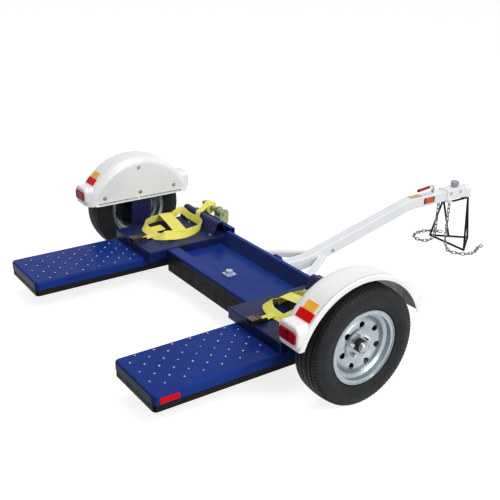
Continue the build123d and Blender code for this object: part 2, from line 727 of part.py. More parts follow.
def build_tongue():
    path = FilletPolyline(
        (0, BEAM_W / 2, TONGUE_Z),
        (0, TONGUE_BEND_Y, TONGUE_Z),
        (0, TONGUE_RISE_Y, TONGUE_END_Z),
        (0, TONGUE_END_Y, TONGUE_END_Z),
        radius=TONGUE_BEND_R,
    )
    start = Plane(origin=path @ 0, x_dir=(1, 0, 0), z_dir=path % 0)
    hole = TUBE - 2 * TUBE_WALL
    tongue = sweep(start * RectangleRounded(TUBE, TUBE, TUBE_ROUND), path=path)
    tongue -= sweep(start * RectangleRounded(hole, hole, TUBE_ROUND - TUBE_WALL), path=path)
    save("tongue", tongue)

    half = TUBE / 2
    way = Vector(half - BRACE_X, BRACE_Y - BEAM_W / 2, 0)
    mid = Vector((BRACE_X + half) / 2, (BRACE_Y + BEAM_W / 2) / 2, BRACE_Z0 + BRACE / 2)
    hole = BRACE - 2 * BRACE_WALL
    section = RectangleRounded(BRACE, BRACE, BRACE_ROUND) - RectangleRounded(hole, hole, BRACE_ROUND - 3)
    line = Plane(origin=mid, x_dir=(0, 0, 1), z_dir=way)
    bar = line * extrude(section, amount=way.length / 2 + 2 * BRACE, both=True)
    bar &= block(half, 2 * BRACE_X, BEAM_W / 2, 2 * BRACE_Y, 0, 2 * BRACE_Z0)
    both("tongue_brace", bar)

    y0 = SADDLE_Y
    y1 = SADDLE_Y + SADDLE_L
    top = TONGUE_Z + half
    wide = half + SADDLE_T
    saddle = block(-wide, wide, y0, y1, TONGUE_Z - SADDLE_DROP, top + SADDLE_T)
    saddle -= block(-half, half, y0 - 1, y1 + 1, 0, top)
    mid_y = (y0 + y1) / 2
    t = SADDLE_LUG_T / 2
    lug = block(-wide, wide, mid_y - t, mid_y + t, top + SADDLE_T, top + SADDLE_T + SADDLE_LUG_H)
    lug = fillet(lug.edges().filter_by(Axis.Y).sort_by(Axis.Z)[-2:], SADDLE_LUG_ROUND)
    save("tongue_bracket", saddle + lug)

    z0 = TONGUE_END_Z + MARKER_RISE - MARKER_H / 2
    y0 = MARKER_Y - MARKER_L / 2
    marker = block(half, half + MARKER_T, y0, y0 + MARKER_L, z0, z0 + MARKER_H)
    marker = fillet(marker.edges().filter_by(Axis.X), MARKER_ROUND)
    save("side_markers", marker, mirror(marker, about=Plane.YZ))


def build_coupler():
    half = TUBE / 2 + SLEEVE_T
    body = block(-half, half, SLEEVE_Y0, SOCKET_Y, COUPLER_FOOT + SLEEVE_FOOT, COUPLER_TOP)
    body = fillet(body.edges().filter_by(Axis.Y).sort_by(Axis.Z)[-2:], SLEEVE_ROUND)
    bevel = NOSE_BEVEL * sqrt(2)
    body -= Pos(0, SOCKET_Y, COUPLER_TOP) * Rot(45, 0, 0) * Box(4 * half, bevel, bevel)
    body -= block(-TUBE / 2, TUBE / 2, SLEEVE_Y0 - 1, TONGUE_END_Y, 0, COUPLER_TOP - SLEEVE_T)
    in_r = BALL_R + BALL_GAP
    out_r = in_r + SOCKET_WALL
    high = SOCKET_Z - COUPLER_FOOT
    body += Pos(0, SOCKET_Y, COUPLER_FOOT) * extrude(Circle(out_r), amount=high)
    body += Pos(0, SOCKET_Y, SOCKET_Z) * Sphere(out_r)
    body -= Pos(0, SOCKET_Y, COUPLER_FOOT - in_r) * extrude(Circle(in_r), amount=high + in_r)
    body -= Pos(0, SOCKET_Y, SOCKET_Z) * Sphere(in_r)
    screw_hole = extrude(Circle(SCREW_R + SCREW_GAP), amount=2 * SLEEVE_T)
    body -= Pos(0, WHEEL_NUT_Y, COUPLER_TOP - SLEEVE_T) * screw_hole
    save("coupler", body)

    foot = COUPLER_TOP - SLEEVE_T + BALL_GAP
    neck = COUPLER_TOP + 1
    under = neck + KNOB_NECK_H
    head = COUPLER_TOP + KNOB_H
    knob_section = [
        (0, foot), (SCREW_R, foot), (SCREW_R, neck), (KNOB_NECK_R, neck), (KNOB_NECK_R, under - 1),
        (KNOB_R - KNOB_EDGE, under), (KNOB_R, under + KNOB_EDGE), (KNOB_R, head - KNOB_EDGE),
        (KNOB_R - KNOB_EDGE, head), (0, head),
    ]
    knob = revolve(Plane.XZ * polygon(knob_section), Axis.Z)
    flute = Pos(KNOB_R + KNOB_FLUTE_OUT, 0, (neck + head) / 2) * Cylinder(KNOB_FLUTE_R, 2 * KNOB_H)
    for i in range(KNOB_FLUTES):
        knob -= Rot(0, 0, i * 360 / KNOB_FLUTES) * flute
    save("coupler_handwheel", Pos(0, WHEEL_NUT_Y, 0) * knob)


def build_lever():
    w = EAR_HALF_W
    floor = TONGUE_END_Z + TUBE / 2
    gap = w - EAR_T
    ears = block(-w, w, LEVER_Y - EAR_HALF_L, LEVER_Y + EAR_HALF_L, floor, LEVER_Z + EAR_TOP)
    ears = fillet(ears.edges().filter_by(Axis.X).sort_by(Axis.Z)[-2:], EAR_ROUND)
    reach = 2 * EAR_HALF_L
    ears -= block(-gap, gap, LEVER_Y - reach, LEVER_Y + reach, floor + EAR_FLOOR, 2 * LEVER_Z)
    ears += rod((-w, LEVER_Y, LEVER_Z), (w, LEVER_Y, LEVER_Z), LEVER_PIN_R)
    save("lever_bracket", ears)

    knee_z = LEVER_Z + LEVER_UP
    path = FilletPolyline(
        (0, LEVER_Y, LEVER_Z),
        (0, LEVER_Y - LEVER_LEAN, knee_z),
        (0, LEVER_Y - LEVER_BACK, knee_z - LEVER_DIP),
        radius=LEVER_BEND_R,
    )
    eye = Pos(0, LEVER_Y, LEVER_Z) * Rot(0, 90, 0)
    lever = sweep(Plane(origin=path @ 0, z_dir=path % 0) * Circle(LEVER_ROD_R), path=path)
    lever += eye * Cylinder(LEVER_EYE_R, LEVER_EYE_W)
    lever -= eye * Cylinder(LEVER_PIN_R + LEVER_PIN_GAP, 2 * LEVER_EYE_W)
    save("latch_lever", lever)

    back = (path % 1) * -1
    grip_line = Plane(origin=path @ 1 - back * GRIP_END, z_dir=back)
    grip = grip_line * extrude(Circle(GRIP_R), amount=GRIP_L)
    grip = fillet(grip.edges().filter_by(GeomType.CIRCLE), GRIP_ROUND)
    grip -= grip_line * Pos(0, 0, GRIP_END) * extrude(Circle(LEVER_ROD_R), amount=GRIP_L)
    save("lever_grip", grip)


def build_stand():
    a = (*FOOT_A, ROD_R)
    b = (*FOOT_B, ROD_R)
    c = (*FOOT_C, ROD_R)
    d = ((a[0] + c[0]) / 2, (a[1] + c[1]) / 2, ROD_R)
    top_z = COUPLER_FOOT - ROD_R
    rear_left = (-TOP_HALF, TOP_Y0, top_z)
    rear_right = (TOP_HALF, TOP_Y0, top_z)
    front_left = (-TOP_HALF, TOP_Y1, top_z)
    front_right = (TOP_HALF, TOP_Y1, top_z)
    bar_y = SOCKET_Y - BALL_ROOM
    bars = [
        (b, c), (c, a), (rear_left, front_left), (rear_right, front_right), (rear_left, rear_right),
        (a, rear_left), (d, rear_left), (b, front_right), (c, front_right),
        ((-TOP_HALF, bar_y, top_z), (TOP_HALF, bar_y, top_z)),
    ]
    stand = rod(a, b, ROD_R)
    for p, q in bars:
        stand += rod(p, q, ROD_R)
    for p in (a, b, c, d, rear_left, rear_right, front_left, front_right):
        stand += Pos(*p) * Sphere(ROD_R)
    save("stand", stand)


def build_link():
    r = CHAIN_WIRE_R
    half = LINK_IN_L / 2 - LINK_IN_W / 2
    bend = LINK_IN_W / 2 + r
    side = extrude(Plane.YZ.offset(-half) * Circle(r), amount=2 * half)
    end = revolve(Plane.XZ * Pos(half + bend, 0) * Circle(r), Axis((half, 0, 0), (0, 0, 1)), 180)
    end = Pos(half, 0, 0) * Rot(0, 0, -90) * Pos(-half, 0, 0) * end
    link = Pos(0, bend, 0) * side + Pos(0, -bend, 0) * side + end
    return link + Rot(0, 0, 180) * end


def chain_line(eye, lying, start_z):
    # straight down from the eye, round a quarter turn, then along the ground
    top = Vector(*eye, start_z)
    low = Vector(*eye, CHAIN_LIE_Z + CHAIN_TURN)
    first = (Vector(*lying[0]) - Vector(*eye)).normalized()
    drop = Vector(0, 0, -CHAIN_TURN)
    down = [top + (low - top) * (i / 40) for i in range(41)]
    curve = []
    for i in range(1, 12):
        w = i / 12 * pi / 2
        curve.append(low + first * (CHAIN_TURN * (1 - cos(w))) + drop * sin(w))
    landing = low + first * CHAIN_TURN + drop
    run = Spline(landing, *[Vector(x, y, CHAIN_LIE_Z) for x, y in lying])
    return down + curve + [run @ (i / 400) for i in range(401)]


def chain_joints(line, step):
    # points a fixed straight distance apart along a dense polyline
    out = [line[0]]
    for p, q in zip(line, line[1:]):
        while (q - out[-1]).length >= step:
            lo = 0.0
            hi = 1.0
            for _ in range(40):
                t = (lo + hi) / 2
                if (p + (q - p) * t - out[-1]).length < step:
                    lo = t
                else:
                    hi = t
            out.append(p + (q - p) * hi)
    return out


def build_chain(name, eye, lying):
    # links hang square to the eye and roll until they lean both ways on the ground
    step = LINK_IN_L - LINK_SLACK
    start_z = EYE_Z - EYE_R + EYE_WIRE_R + CHAIN_WIRE_R + LINK_SLACK
    start_z -= LINK_IN_L / 2 + CHAIN_WIRE_R - step / 2
    joints = chain_joints(chain_line(eye, lying, start_z), step)
    first = (Vector(*lying[0]) - Vector(*eye)).normalized()
    side = first.cross(Vector(0, 0, 1))
    hang = atan2(side.Y, side.X)
    hang -= pi * round(hang / pi)
    lean = copysign(LINK_ROLL, hang)
    link = build_link()
    links = []
    for i, (p, q) in enumerate(zip(joints, joints[1:])):
        way = (q - p).normalized()
        side = (side - way * side.dot(way)).normalized()
        level = way.cross(side)
        share = min(1.0, i / LINKS_TO_ROLL)
        w = hang + (lean - hang) * share + pi / 2 * (i % 2)
        normal = side * cos(w) + level * sin(w)
        links.append(Plane(origin=(p + q) * 0.5, x_dir=way, z_dir=normal) * link)
    save(name, *links)


def build_chains():
    half_l = EYE_X + EYE_PLATE_END
    half_w = EYE_PLATE_HALF
    bracket = block(-half_l, half_l, EYE_Y - half_w, EYE_Y + half_w, TONGUE_FOOT - EYE_PLATE_T, TONGUE_FOOT)
    bracket = fillet(bracket.edges().filter_by(Axis.Z), EYE_PLATE_ROUND)
    for x in (-EYE_X, EYE_X):
        bracket += Pos(x, EYE_Y, EYE_Z) * Rot(90, 0, 0) * Torus(EYE_R, EYE_WIRE_R)
    save("chain_bracket", bracket)
    build_chain("right_safety_chain", (EYE_X, EYE_Y), NEAR_CHAIN)
    build_chain("left_safety_chain", (-EYE_X, EYE_Y), FAR_CHAIN)


def build_straps():
    lie_z = WHEEL_PAN_Z + NET_LIFT
    path = Pos(NET_MID_X, NET_MID_Y, lie_z) * Ellipse(NET_HALF_L, NET_HALF_W).edge()
    start = Plane(origin=path @ 0, x_dir=(1, 0, 0), z_dir=path % 0)
    strap = sweep(start * Rot(0, 0, NET_LEAN_DEG) * Rectangle(WEB_W, WEB_T), path=path)
    band = Box(2 * (NET_HALF_L + BAND_OVER), WEB_W, WEB_T)
    strap += Pos(NET_MID_X, NET_MID_Y, lie_z + BAND_LIFT) * Rot(0, 0, BAND_DEG) * band
    over = shifted(stop_path(), WEB_T + WEB_GAP)
    climb = (lie_z - over[0][1]) / (over[1][1] - over[0][1])
    foot = over[0][0] + (over[1][0] - over[0][0]) * climb
    net_end = NET_MID_Y + NET_HALF_W
    tail_path = [(net_end - TAIL_LAP, lie_z), (foot, lie_z), over[1], (WINCH_Y, WINCH_Z + ROLL_R)]
    half = WEB_W / 2
    strap += across(bent(tail_path, WEB_T, STOP_ROLL_R + WEB_GAP), ROLL_X - half, ROLL_X + half)
    roll = Cylinder(ROLL_R, WEB_W) - Cylinder(SPOOL_R + SPOOL_GAP, WEB_W)
    strap += Pos(ROLL_X, WINCH_Y, WINCH_Z) * Rot(0, 90, 0) * roll
    net_start = NET_MID_Y - NET_HALF_W
    z0 = WHEEL_PAN_Z + LEAD_LIFT
    strap += block(LEAD_X - half, LEAD_X + half, net_start - LEAD_LAP, net_start + LEAD_LAP, z0, z0 + WEB_T)
    both("tyre_strap", strap)

    build_winch()
    build_buckle(net_start - LEAD_LAP)


def build_winch():
    y0 = FLANGE_Y
    y1 = FLANGE_Y + WINCH_RAIL_D
    z0, z1 = WINCH_RAIL_Z
    wall = 2 * WINCH_RAIL_WALL
    section = Rectangle(y1 - y0, z1 - z0) - Rectangle(y1 - y0 - wall, z1 - z0 - wall)
    rail = across(Pos((y0 + y1) / 2, (z0 + z1) / 2) * section, PAN_HALF_W, STOP_X1)
    both("winch_rail", rail)

    t = CHEEK_T
    winch = block(WINCH_X0, WINCH_X1, y1, y1 + t, z0, z1)
    inner = WINCH_X0 + WINCH_SPAN
    for x in (WINCH_X0, inner, WINCH_X1 - t):
        cheek = block(x, x + t, y1, WINCH_Y + CHEEK_REACH, z0, WINCH_Z + CHEEK_REACH)
        front = cheek.edges().filter_by(Axis.X).sort_by(Axis.Y)[-2:]
        winch += fillet(front, CHEEK_ROUND)
    ends = (WINCH_X0 - SPOOL_END, WINCH_X1 + SPOOL_END)
    winch += rod((ends[0], WINCH_Y, WINCH_Z), (ends[1], WINCH_Y, WINCH_Z), SPOOL_R)
    drum = (WINCH_X0 + 2 * t, inner - t)
    winch += rod((drum[0], WINCH_Y, WINCH_Z), (drum[1], WINCH_Y, WINCH_Z), WINCH_DRUM_R)
    both("strap_winch", winch)


def build_buckle(lead_end):
    # a ratchet: a channel with a slotted spool across it and a folded handle over it
    t = BUCKLE_T
    half = BUCKLE_W / 2
    y1 = lead_end + BUCKLE_LAP
    y0 = y1 - BUCKLE_L
    z0 = WHEEL_PAN_Z
    z1 = z0 + BUCKLE_H
    buckle = block(LEAD_X - half, LEAD_X + half, y0, y1, z0, z1)
    buckle = fillet(buckle.edges().filter_by(Axis.X).sort_by(Axis.Z)[-2:], BUCKLE_ROUND)
    buckle -= block(LEAD_X - half + t, LEAD_X + half - t, y0 - t, y1 + t, z0 + t, z1 + t)
    spool_y = lead_end - BUCKLE_SPOOL_R
    spool_z = z0 + LEAD_LIFT + WEB_T + WEB_GAP + BUCKLE_SPOOL_R
    end = half + t
    buckle += rod((LEAD_X - end, spool_y, spool_z), (LEAD_X + end, spool_y, spool_z), BUCKLE_SPOOL_R)
    inner = half - t - HANDLE_IN
    bar_y = spool_y - HANDLE_L + 3 * HANDLE_BAR_R
    for x in (-inner - t, inner):
        buckle += block(LEAD_X + x, LEAD_X + x + t, bar_y, spool_y, spool_z, z1 + t)
    buckle += block(LEAD_X - inner - t, LEAD_X + inner + t, bar_y, spool_y - 2 * BUCKLE_SPOOL_R, z1, z1 + t)
    buckle += rod((LEAD_X - half, bar_y, z1), (LEAD_X + half, bar_y, z1), HANDLE_BAR_R)
    both("strap_buckle", buckle)


build_tyre()
build_rim()
build_hub()
build_axle()
build_bed()
build_ramps()
build_fenders()
build_tongue()
build_coupler()
build_lever()
build_stand()
build_chains()
build_straps()
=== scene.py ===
import math
import bmesh
import bpy
import numpy as np
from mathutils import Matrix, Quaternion, Vector


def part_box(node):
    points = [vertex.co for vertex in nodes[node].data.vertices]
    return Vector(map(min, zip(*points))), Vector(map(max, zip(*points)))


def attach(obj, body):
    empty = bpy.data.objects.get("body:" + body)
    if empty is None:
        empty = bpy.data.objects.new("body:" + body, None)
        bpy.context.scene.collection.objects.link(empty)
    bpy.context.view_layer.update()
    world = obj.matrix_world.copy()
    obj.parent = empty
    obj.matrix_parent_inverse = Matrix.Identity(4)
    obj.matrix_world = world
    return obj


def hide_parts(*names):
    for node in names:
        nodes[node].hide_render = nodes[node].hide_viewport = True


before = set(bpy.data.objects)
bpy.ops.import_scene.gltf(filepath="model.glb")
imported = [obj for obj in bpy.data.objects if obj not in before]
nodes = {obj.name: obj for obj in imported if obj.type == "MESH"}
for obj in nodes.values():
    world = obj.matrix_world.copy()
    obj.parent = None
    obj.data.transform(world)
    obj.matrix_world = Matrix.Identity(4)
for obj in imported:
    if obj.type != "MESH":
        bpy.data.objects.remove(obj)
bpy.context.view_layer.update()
mm = 0.001
sideways, upwards = np.array([1.0, 0, 0]), np.array([0, 0, 1.0])
print("frame loaded with", len(nodes), "nodes")


# meshes from arrays

def gridFaces(rows, columns, wrapRows):
    # each square of four neighbouring grid points is a face; a wrapped way joins its last line to its first
    r = np.arange(rows if wrapRows else rows - 1)[:, None]
    c = np.arange(columns)[None, :]
    rNext, cNext = (r + 1) % rows, (c + 1) % columns
    corners = [r * columns + c, r * columns + cNext, rNext * columns + cNext, rNext * columns + c]
    return np.stack(np.broadcast_arrays(*corners), -1).reshape(-1, 4)


def patch(points, closed=False, weave=None):
    # a grid of points whose columns run round; a closed one also joins its last row to its first
    return dict(points=points, closed=closed, weave=weave)


def makePiece(name, patches, finish, body="chassis", stands=(), creaseDeg=38):
    # all patches become one mesh; a patch that isn't closed gets a flat face over its first and last row
    points, faces, weave, start = [], [], [], 0
    for p in patches:
        rows, columns = p["points"].shape[:2]
        faces += (gridFaces(rows, columns, p["closed"]) + start).tolist()
        if not p["closed"]:
            ring = np.arange(columns) + start
            faces += [ring[::-1].tolist(), (ring + (rows - 1) * columns).tolist()]
        points.append(p["points"].reshape(-1, 3))
        if p["weave"] is not None:
            weave.append(p["weave"].reshape(-1, 3))
        start += rows * columns
    mesh = bpy.data.meshes.new(name)
    mesh.from_pydata(np.concatenate(points).tolist(), [], faces)
    if weave:
        layer = mesh.attributes.new("weave", "FLOAT_VECTOR", "POINT")
        layer.data.foreach_set("vector", np.concatenate(weave).astype(np.float32).ravel())
    shape = bmesh.new()
    shape.from_mesh(mesh)
    bmesh.ops.recalc_face_normals(shape, faces=shape.faces)
    shape.to_mesh(mesh)
    shape.free()
    mesh.shade_smooth()
    mesh.set_sharp_from_angle(angle=math.radians(creaseDeg))
    mesh.materials.append(finish)
    piece = bpy.data.objects.new(name, mesh)
    bpy.context.scene.collection.objects.link(piece)
    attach(piece, body)
    if stands:
        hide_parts(*stands)
    return piece


def unit(v):
    v = np.asarray(v, float)
    return v / np.linalg.norm(v, axis=-1, keepdims=True)


def sweep(line, across, profile):
    # the profile's two offsets go along the across way and the way square to it, at every point of the line
    along = unit(np.gradient(line, axis=0))
    across = unit(across - along * np.sum(across * along, -1, keepdims=True))
    through = np.cross(along, across)
    return line[:, None] + profile[..., :1] * across[:, None] + profile[..., 1:] * through[:, None]


def lathe(profile, sides, centre, axis):
    # each (height, radius) of the profile is carried round the axis: height along it, radius square to it
    axis = unit(axis)
    slanted = (0.31, 0.17, 0.93)  # any way that isn't the axis's own
    side = unit(np.cross(axis, slanted if abs(axis[2]) < 0.9 else sideways))
    other = np.cross(axis, side)
    angle = np.linspace(0, 2 * np.pi, sides, endpoint=False)
    ring = np.cos(angle)[:, None] * side + np.sin(angle)[:, None] * other
    profile = np.asarray(profile, float)
    return np.asarray(centre) + profile[:, :1, None] * axis + profile[:, 1:, None] * ring[None]


def smoothLine(points, perRun):
    # a curve through every point: each run blends from the slope at its start to the slope at its end
    p = np.asarray(points, float)
    slope = np.gradient(p, axis=0)
    t = np.linspace(0, 1, perRun, endpoint=False)[None, :, None]
    a, b, slopeA, slopeB = (q[:, None] for q in (p[:-1], p[1:], slope[:-1], slope[1:]))
    places = a * (2 * t**3 - 3 * t**2 + 1) + b * (3 * t**2 - 2 * t**3)
    slopes = slopeA * (t**3 - 2 * t**2 + t) + slopeB * (t**3 - t**2)
    return np.concatenate([(places + slopes).reshape(-1, p.shape[1]), p[-1:]])


def lengthAlong(line):
    # distance from the line's start to each of its points
    return np.concatenate([[0], np.cumsum(np.linalg.norm(np.diff(line, axis=0), axis=1))])


def roundedRun(points, radius, step):
    # straight runs joined by arcs of the given radius at the corners, then points an even step apart
    p = np.asarray(points, float)
    out = [p[:1]]
    for a, b, c in zip(p[:-2], p[1:-1], p[2:]):
        u, v = unit(a - b), unit(c - b)
        half = math.acos(float(np.clip(u @ v, -1, 1))) / 2
        cut = radius / math.tan(half)
        centre = b + unit(u + v) * radius / math.sin(half)
        start, end = unit(b + u * cut - centre), unit(b + v * cut - centre)
        whole = math.acos(float(np.clip(start @ end, -1, 1)))
        t = np.linspace(0, 1, max(3, int(radius * whole / step)))[:, None]
        arc = (np.sin((1 - t) * whole) * start + np.sin(t * whole) * end) / math.sin(whole)
        out.append(centre + radius * arc)
    out.append(p[-1:])
    corners = np.concatenate(out)
    far = lengthAlong(corners)
    even = np.linspace(0, far[-1], int(far[-1] / step))
    return np.stack([np.interp(even, far, corners[:, k]) for k in range(corners.shape[1])], -1)


def same(points):
    return points


def mirrored(points):
    return points * np.array([-1.0, 1.0, 1.0])


bothSides = (("right", same), ("left", mirrored))


# finishes

def hexColour(code):
    # sRGB hex to linear
    raw = np.array([int(code[i:i + 2], 16) for i in (1, 3, 5)]) / 255
    linear = np.where(raw <= 0.04045, raw / 12.92, ((raw + 0.055) / 1.055) ** 2.4)
    return (*linear.tolist(), 1.0)


def addNode(tree, kind, inputs=None, **settings):
    # one node with its settings; an input is a fixed value or another node's output
    node = tree.nodes.new("ShaderNode" + kind)
    for key, value in settings.items():
        setattr(node, key, value)
    for key, value in (inputs or {}).items():
        if isinstance(value, bpy.types.NodeSocket):
            tree.links.new(value, node.inputs[key])
        else:
            node.inputs[key].default_value = value
    return node


# sockets of a Mix node that mixes colours
mixShare, mixFirst, mixSecond, mixColour = 0, 6, 7, 2


def startFinish(name, sockets):
    finish = bpy.data.materials.new(name)
    finish.use_nodes = True
    tree = finish.node_tree
    shader = tree.nodes["Principled BSDF"]
    for key, value in sockets.items():
        shader.inputs[key].default_value = value
    place = addNode(tree, "TexCoord").outputs["Object"]
    return finish, tree, shader, place


def wire(tree, shader, sockets):
    for key, output in sockets.items():
        tree.links.new(output, shader.inputs[key])


def clouded(tree, place, sizeMm, first, second, spread=0.3):
    # soft change between two near colours, a cloud being about sizeMm across
    noise = addNode(tree, "TexNoise", {
        "Vector": place, "Scale": 1 / (sizeMm * mm), "Detail": 4.0, "Roughness": 0.6})
    ramp = addNode(tree, "ValToRGB", {"Fac": noise.outputs["Fac"]})
    stops = ((0.5 - spread / 2, first), (0.5 + spread / 2, second))
    for element, (position, code) in zip(ramp.color_ramp.elements, stops):
        element.position = position
        element.color = hexColour(code)
    return ramp.outputs["Color"]


def ranged(tree, place, sizeMm, low, high):
    # a number that drifts between low and high over about sizeMm
    noise = addNode(tree, "TexNoise", {"Vector": place, "Scale": 1 / (sizeMm * mm), "Detail": 3.0})
    span = addNode(tree, "MapRange", {
        "Value": noise.outputs["Fac"], "From Min": 0.3, "From Max": 0.7, "To Min": low, "To Max": high})
    return span.outputs["Result"]


def grained(tree, place, sizeMm, depthMm, strength, detail=2.0):
    # fine relief: bumps about sizeMm across and depthMm high
    noise = addNode(tree, "TexNoise", {"Vector": place, "Scale": 1 / (sizeMm * mm), "Detail": detail})
    bump = addNode(tree, "Bump", {
        "Height": noise.outputs["Fac"], "Distance": depthMm * mm, "Strength": strength})
    return bump.outputs["Normal"]


def rearShaded(tree, colour, rearShade):
    # painted shade on what faces the rear: the more a face turns that way, the more the dark shade colour
    # covers it
    facing = addNode(tree, "TexCoord").outputs["Normal"]
    rearward = addNode(tree, "SeparateXYZ", {"Vector": facing}).outputs["Y"]
    rearShadeShare = addNode(tree, "MapRange", {
        "Value": rearward, "From Min": -0.25, "From Max": -0.95, "To Min": 0.0, "To Max": 0.7})
    mix = addNode(tree, "Mix", {
        mixShare: rearShadeShare.outputs["Result"], mixFirst: colour, mixSecond: hexColour(rearShade)}, data_type="RGBA")
    return mix.outputs[mixColour]


def paintFinish(name, first, second, rough, gloss, coat=0.0, peelMm=4.0, rearShade=None):
    # sprayed enamel on steel: even colour with faint clouds, orange-peel ripple and a satin to glossy top;
    # given a rear shade colour, faces turned to the rear darken as painted shade
    finish, tree, shader, place = startFinish(name, {
        "IOR": 1.5, "Specular IOR Level": gloss, "Coat Weight": coat, "Coat Roughness": 0.06})
    colour = clouded(tree, place, 240, first, second)
    wire(tree, shader, {
        "Base Color": rearShaded(tree, colour, rearShade) if rearShade else colour,
        "Roughness": ranged(tree, place, 60, rough * 0.8, rough * 1.25),
        "Normal": grained(tree, place, peelMm, depthMm=0.05, strength=0.35),
    })
    return finish


def scuffedPaint(name, first, second, scuff, rough):
    # enamel that tyres have rolled on: the paint shows through a thin broken film of grey rubber dust
    film = dict(sizeMm=26, stretch=(1.0, 0.25, 1.0))
    finish, tree, shader, place = startFinish(name, {
        "IOR": 1.5, "Specular IOR Level": 0.1, "Coat Weight": 0.04, "Coat Roughness": 0.12})
    stretched = addNode(tree, "Mapping", {"Vector": place, "Scale": film["stretch"]}).outputs["Vector"]
    dust = addNode(tree, "TexNoise", {
        "Vector": stretched, "Scale": 1 / (film["sizeMm"] * mm), "Detail": 6.0, "Roughness": 0.7})
    share = addNode(tree, "MapRange", {
        "Value": dust.outputs["Fac"], "From Min": 0.5, "From Max": 0.8, "To Min": 0.0, "To Max": 0.4})
    mix = addNode(tree, "Mix", {
        mixShare: share.outputs["Result"], mixFirst: clouded(tree, place, 200, first, second),
        mixSecond: hexColour(scuff)}, data_type="RGBA")
    wire(tree, shader, {
        "Base Color": mix.outputs[mixColour],
        "Roughness": ranged(tree, place, 40, rough * 0.8, rough * 1.4),
        "Normal": grained(tree, place, 5.0, depthMm=0.06, strength=0.4),
    })
    return finish


def metalFinish(name, first, second, rough, grainMm=2.0, depthMm=0.03, metallic=1.0):
    # plated or bare steel: broken tint of the plating, satin reflection, fine grain
    finish, tree, shader, place = startFinish(name, {"Metallic": metallic})
    wire(tree, shader, {
        "Base Color": clouded(tree, place, 18, first, second, spread=0.5),
        "Roughness": ranged(tree, place, 12, rough * 0.75, rough * 1.3),
        "Normal": grained(tree, place, grainMm, depthMm, strength=0.5),
    })
    return finish


def rubberFinish():
    # cured tyre rubber: dark charcoal with greyer dusty patches, a low sheen, fine mould grain
    finish, tree, shader, place = startFinish("cured_tyre_rubber", {"IOR": 1.5, "Specular IOR Level": 0.16})
    wire(tree, shader, {
        "Base Color": clouded(tree, place, 90, "#191b1d", "#222425", spread=0.5),
        "Roughness": ranged(tree, place, 30, 0.5, 0.68),
        "Normal": grained(tree, place, 3.0, depthMm=0.15, strength=0.5, detail=4.0),
    })
    return finish


def mouldedFinish():
    # rotation-moulded polyethylene: bright white, soft gloss, faint flow marks
    finish, tree, shader, place = startFinish("moulded_white_polyethylene", {
        "IOR": 1.51, "Specular IOR Level": 0.4, "Coat Weight": 0.15, "Coat Roughness": 0.12})
    wire(tree, shader, {
        "Base Color": clouded(tree, place, 180, "#f3f4f4", "#ececeb"),
        "Roughness": ranged(tree, place, 50, 0.28, 0.42),
        "Normal": grained(tree, place, 9.0, depthMm=0.12, strength=0.3),
    })
    return finish


def webbingFinish():
    # woven polyester webbing: lemon warp bundles, with the gaps between them painted a deeper yellow as
    # shade; the weave is drawn about three times coarser than real so that it shows
    weaveMm = dict(warp=6.0, weft=5.0, weftShare=0.55, deep=0.5)
    finish, tree, shader, place = startFinish("woven_yellow_polyester", {
        "Roughness": 0.62, "Sheen Weight": 0.3, "Sheen Roughness": 0.4, "IOR": 1.5})
    weave = addNode(tree, "Attribute", attribute_name="weave").outputs["Vector"]
    parts = addNode(tree, "SeparateXYZ", {"Vector": weave})
    waves = []
    for axis, way in (("Y", "warp"), ("X", "weft")):
        turns = addNode(tree, "Math", {
            0: parts.outputs[axis], 1: 2 * math.pi / (weaveMm[way] * mm)}, operation="MULTIPLY")
        waves.append(addNode(tree, "Math", {0: turns.outputs[0]}, operation="COSINE").outputs[0])
    height = addNode(tree, "Math", {
        0: waves[1], 1: weaveMm["weftShare"], 2: waves[0]}, operation="MULTIPLY_ADD").outputs[0]
    gapShadeShare = addNode(tree, "MapRange", {"Value": height, "From Min": -1.5, "From Max": 1.2})
    mix = addNode(tree, "Mix", {
        mixShare: gapShadeShare.outputs["Result"], mixFirst: hexColour("#e2d845"),
        mixSecond: clouded(tree, place, 70, "#fcf782", "#f6ed58")}, data_type="RGBA")
    bump = addNode(tree, "Bump", {"Height": height, "Distance": weaveMm["deep"] * mm, "Strength": 0.6})
    wire(tree, shader, {"Base Color": mix.outputs[mixColour], "Normal": bump.outputs["Normal"]})
    return finish


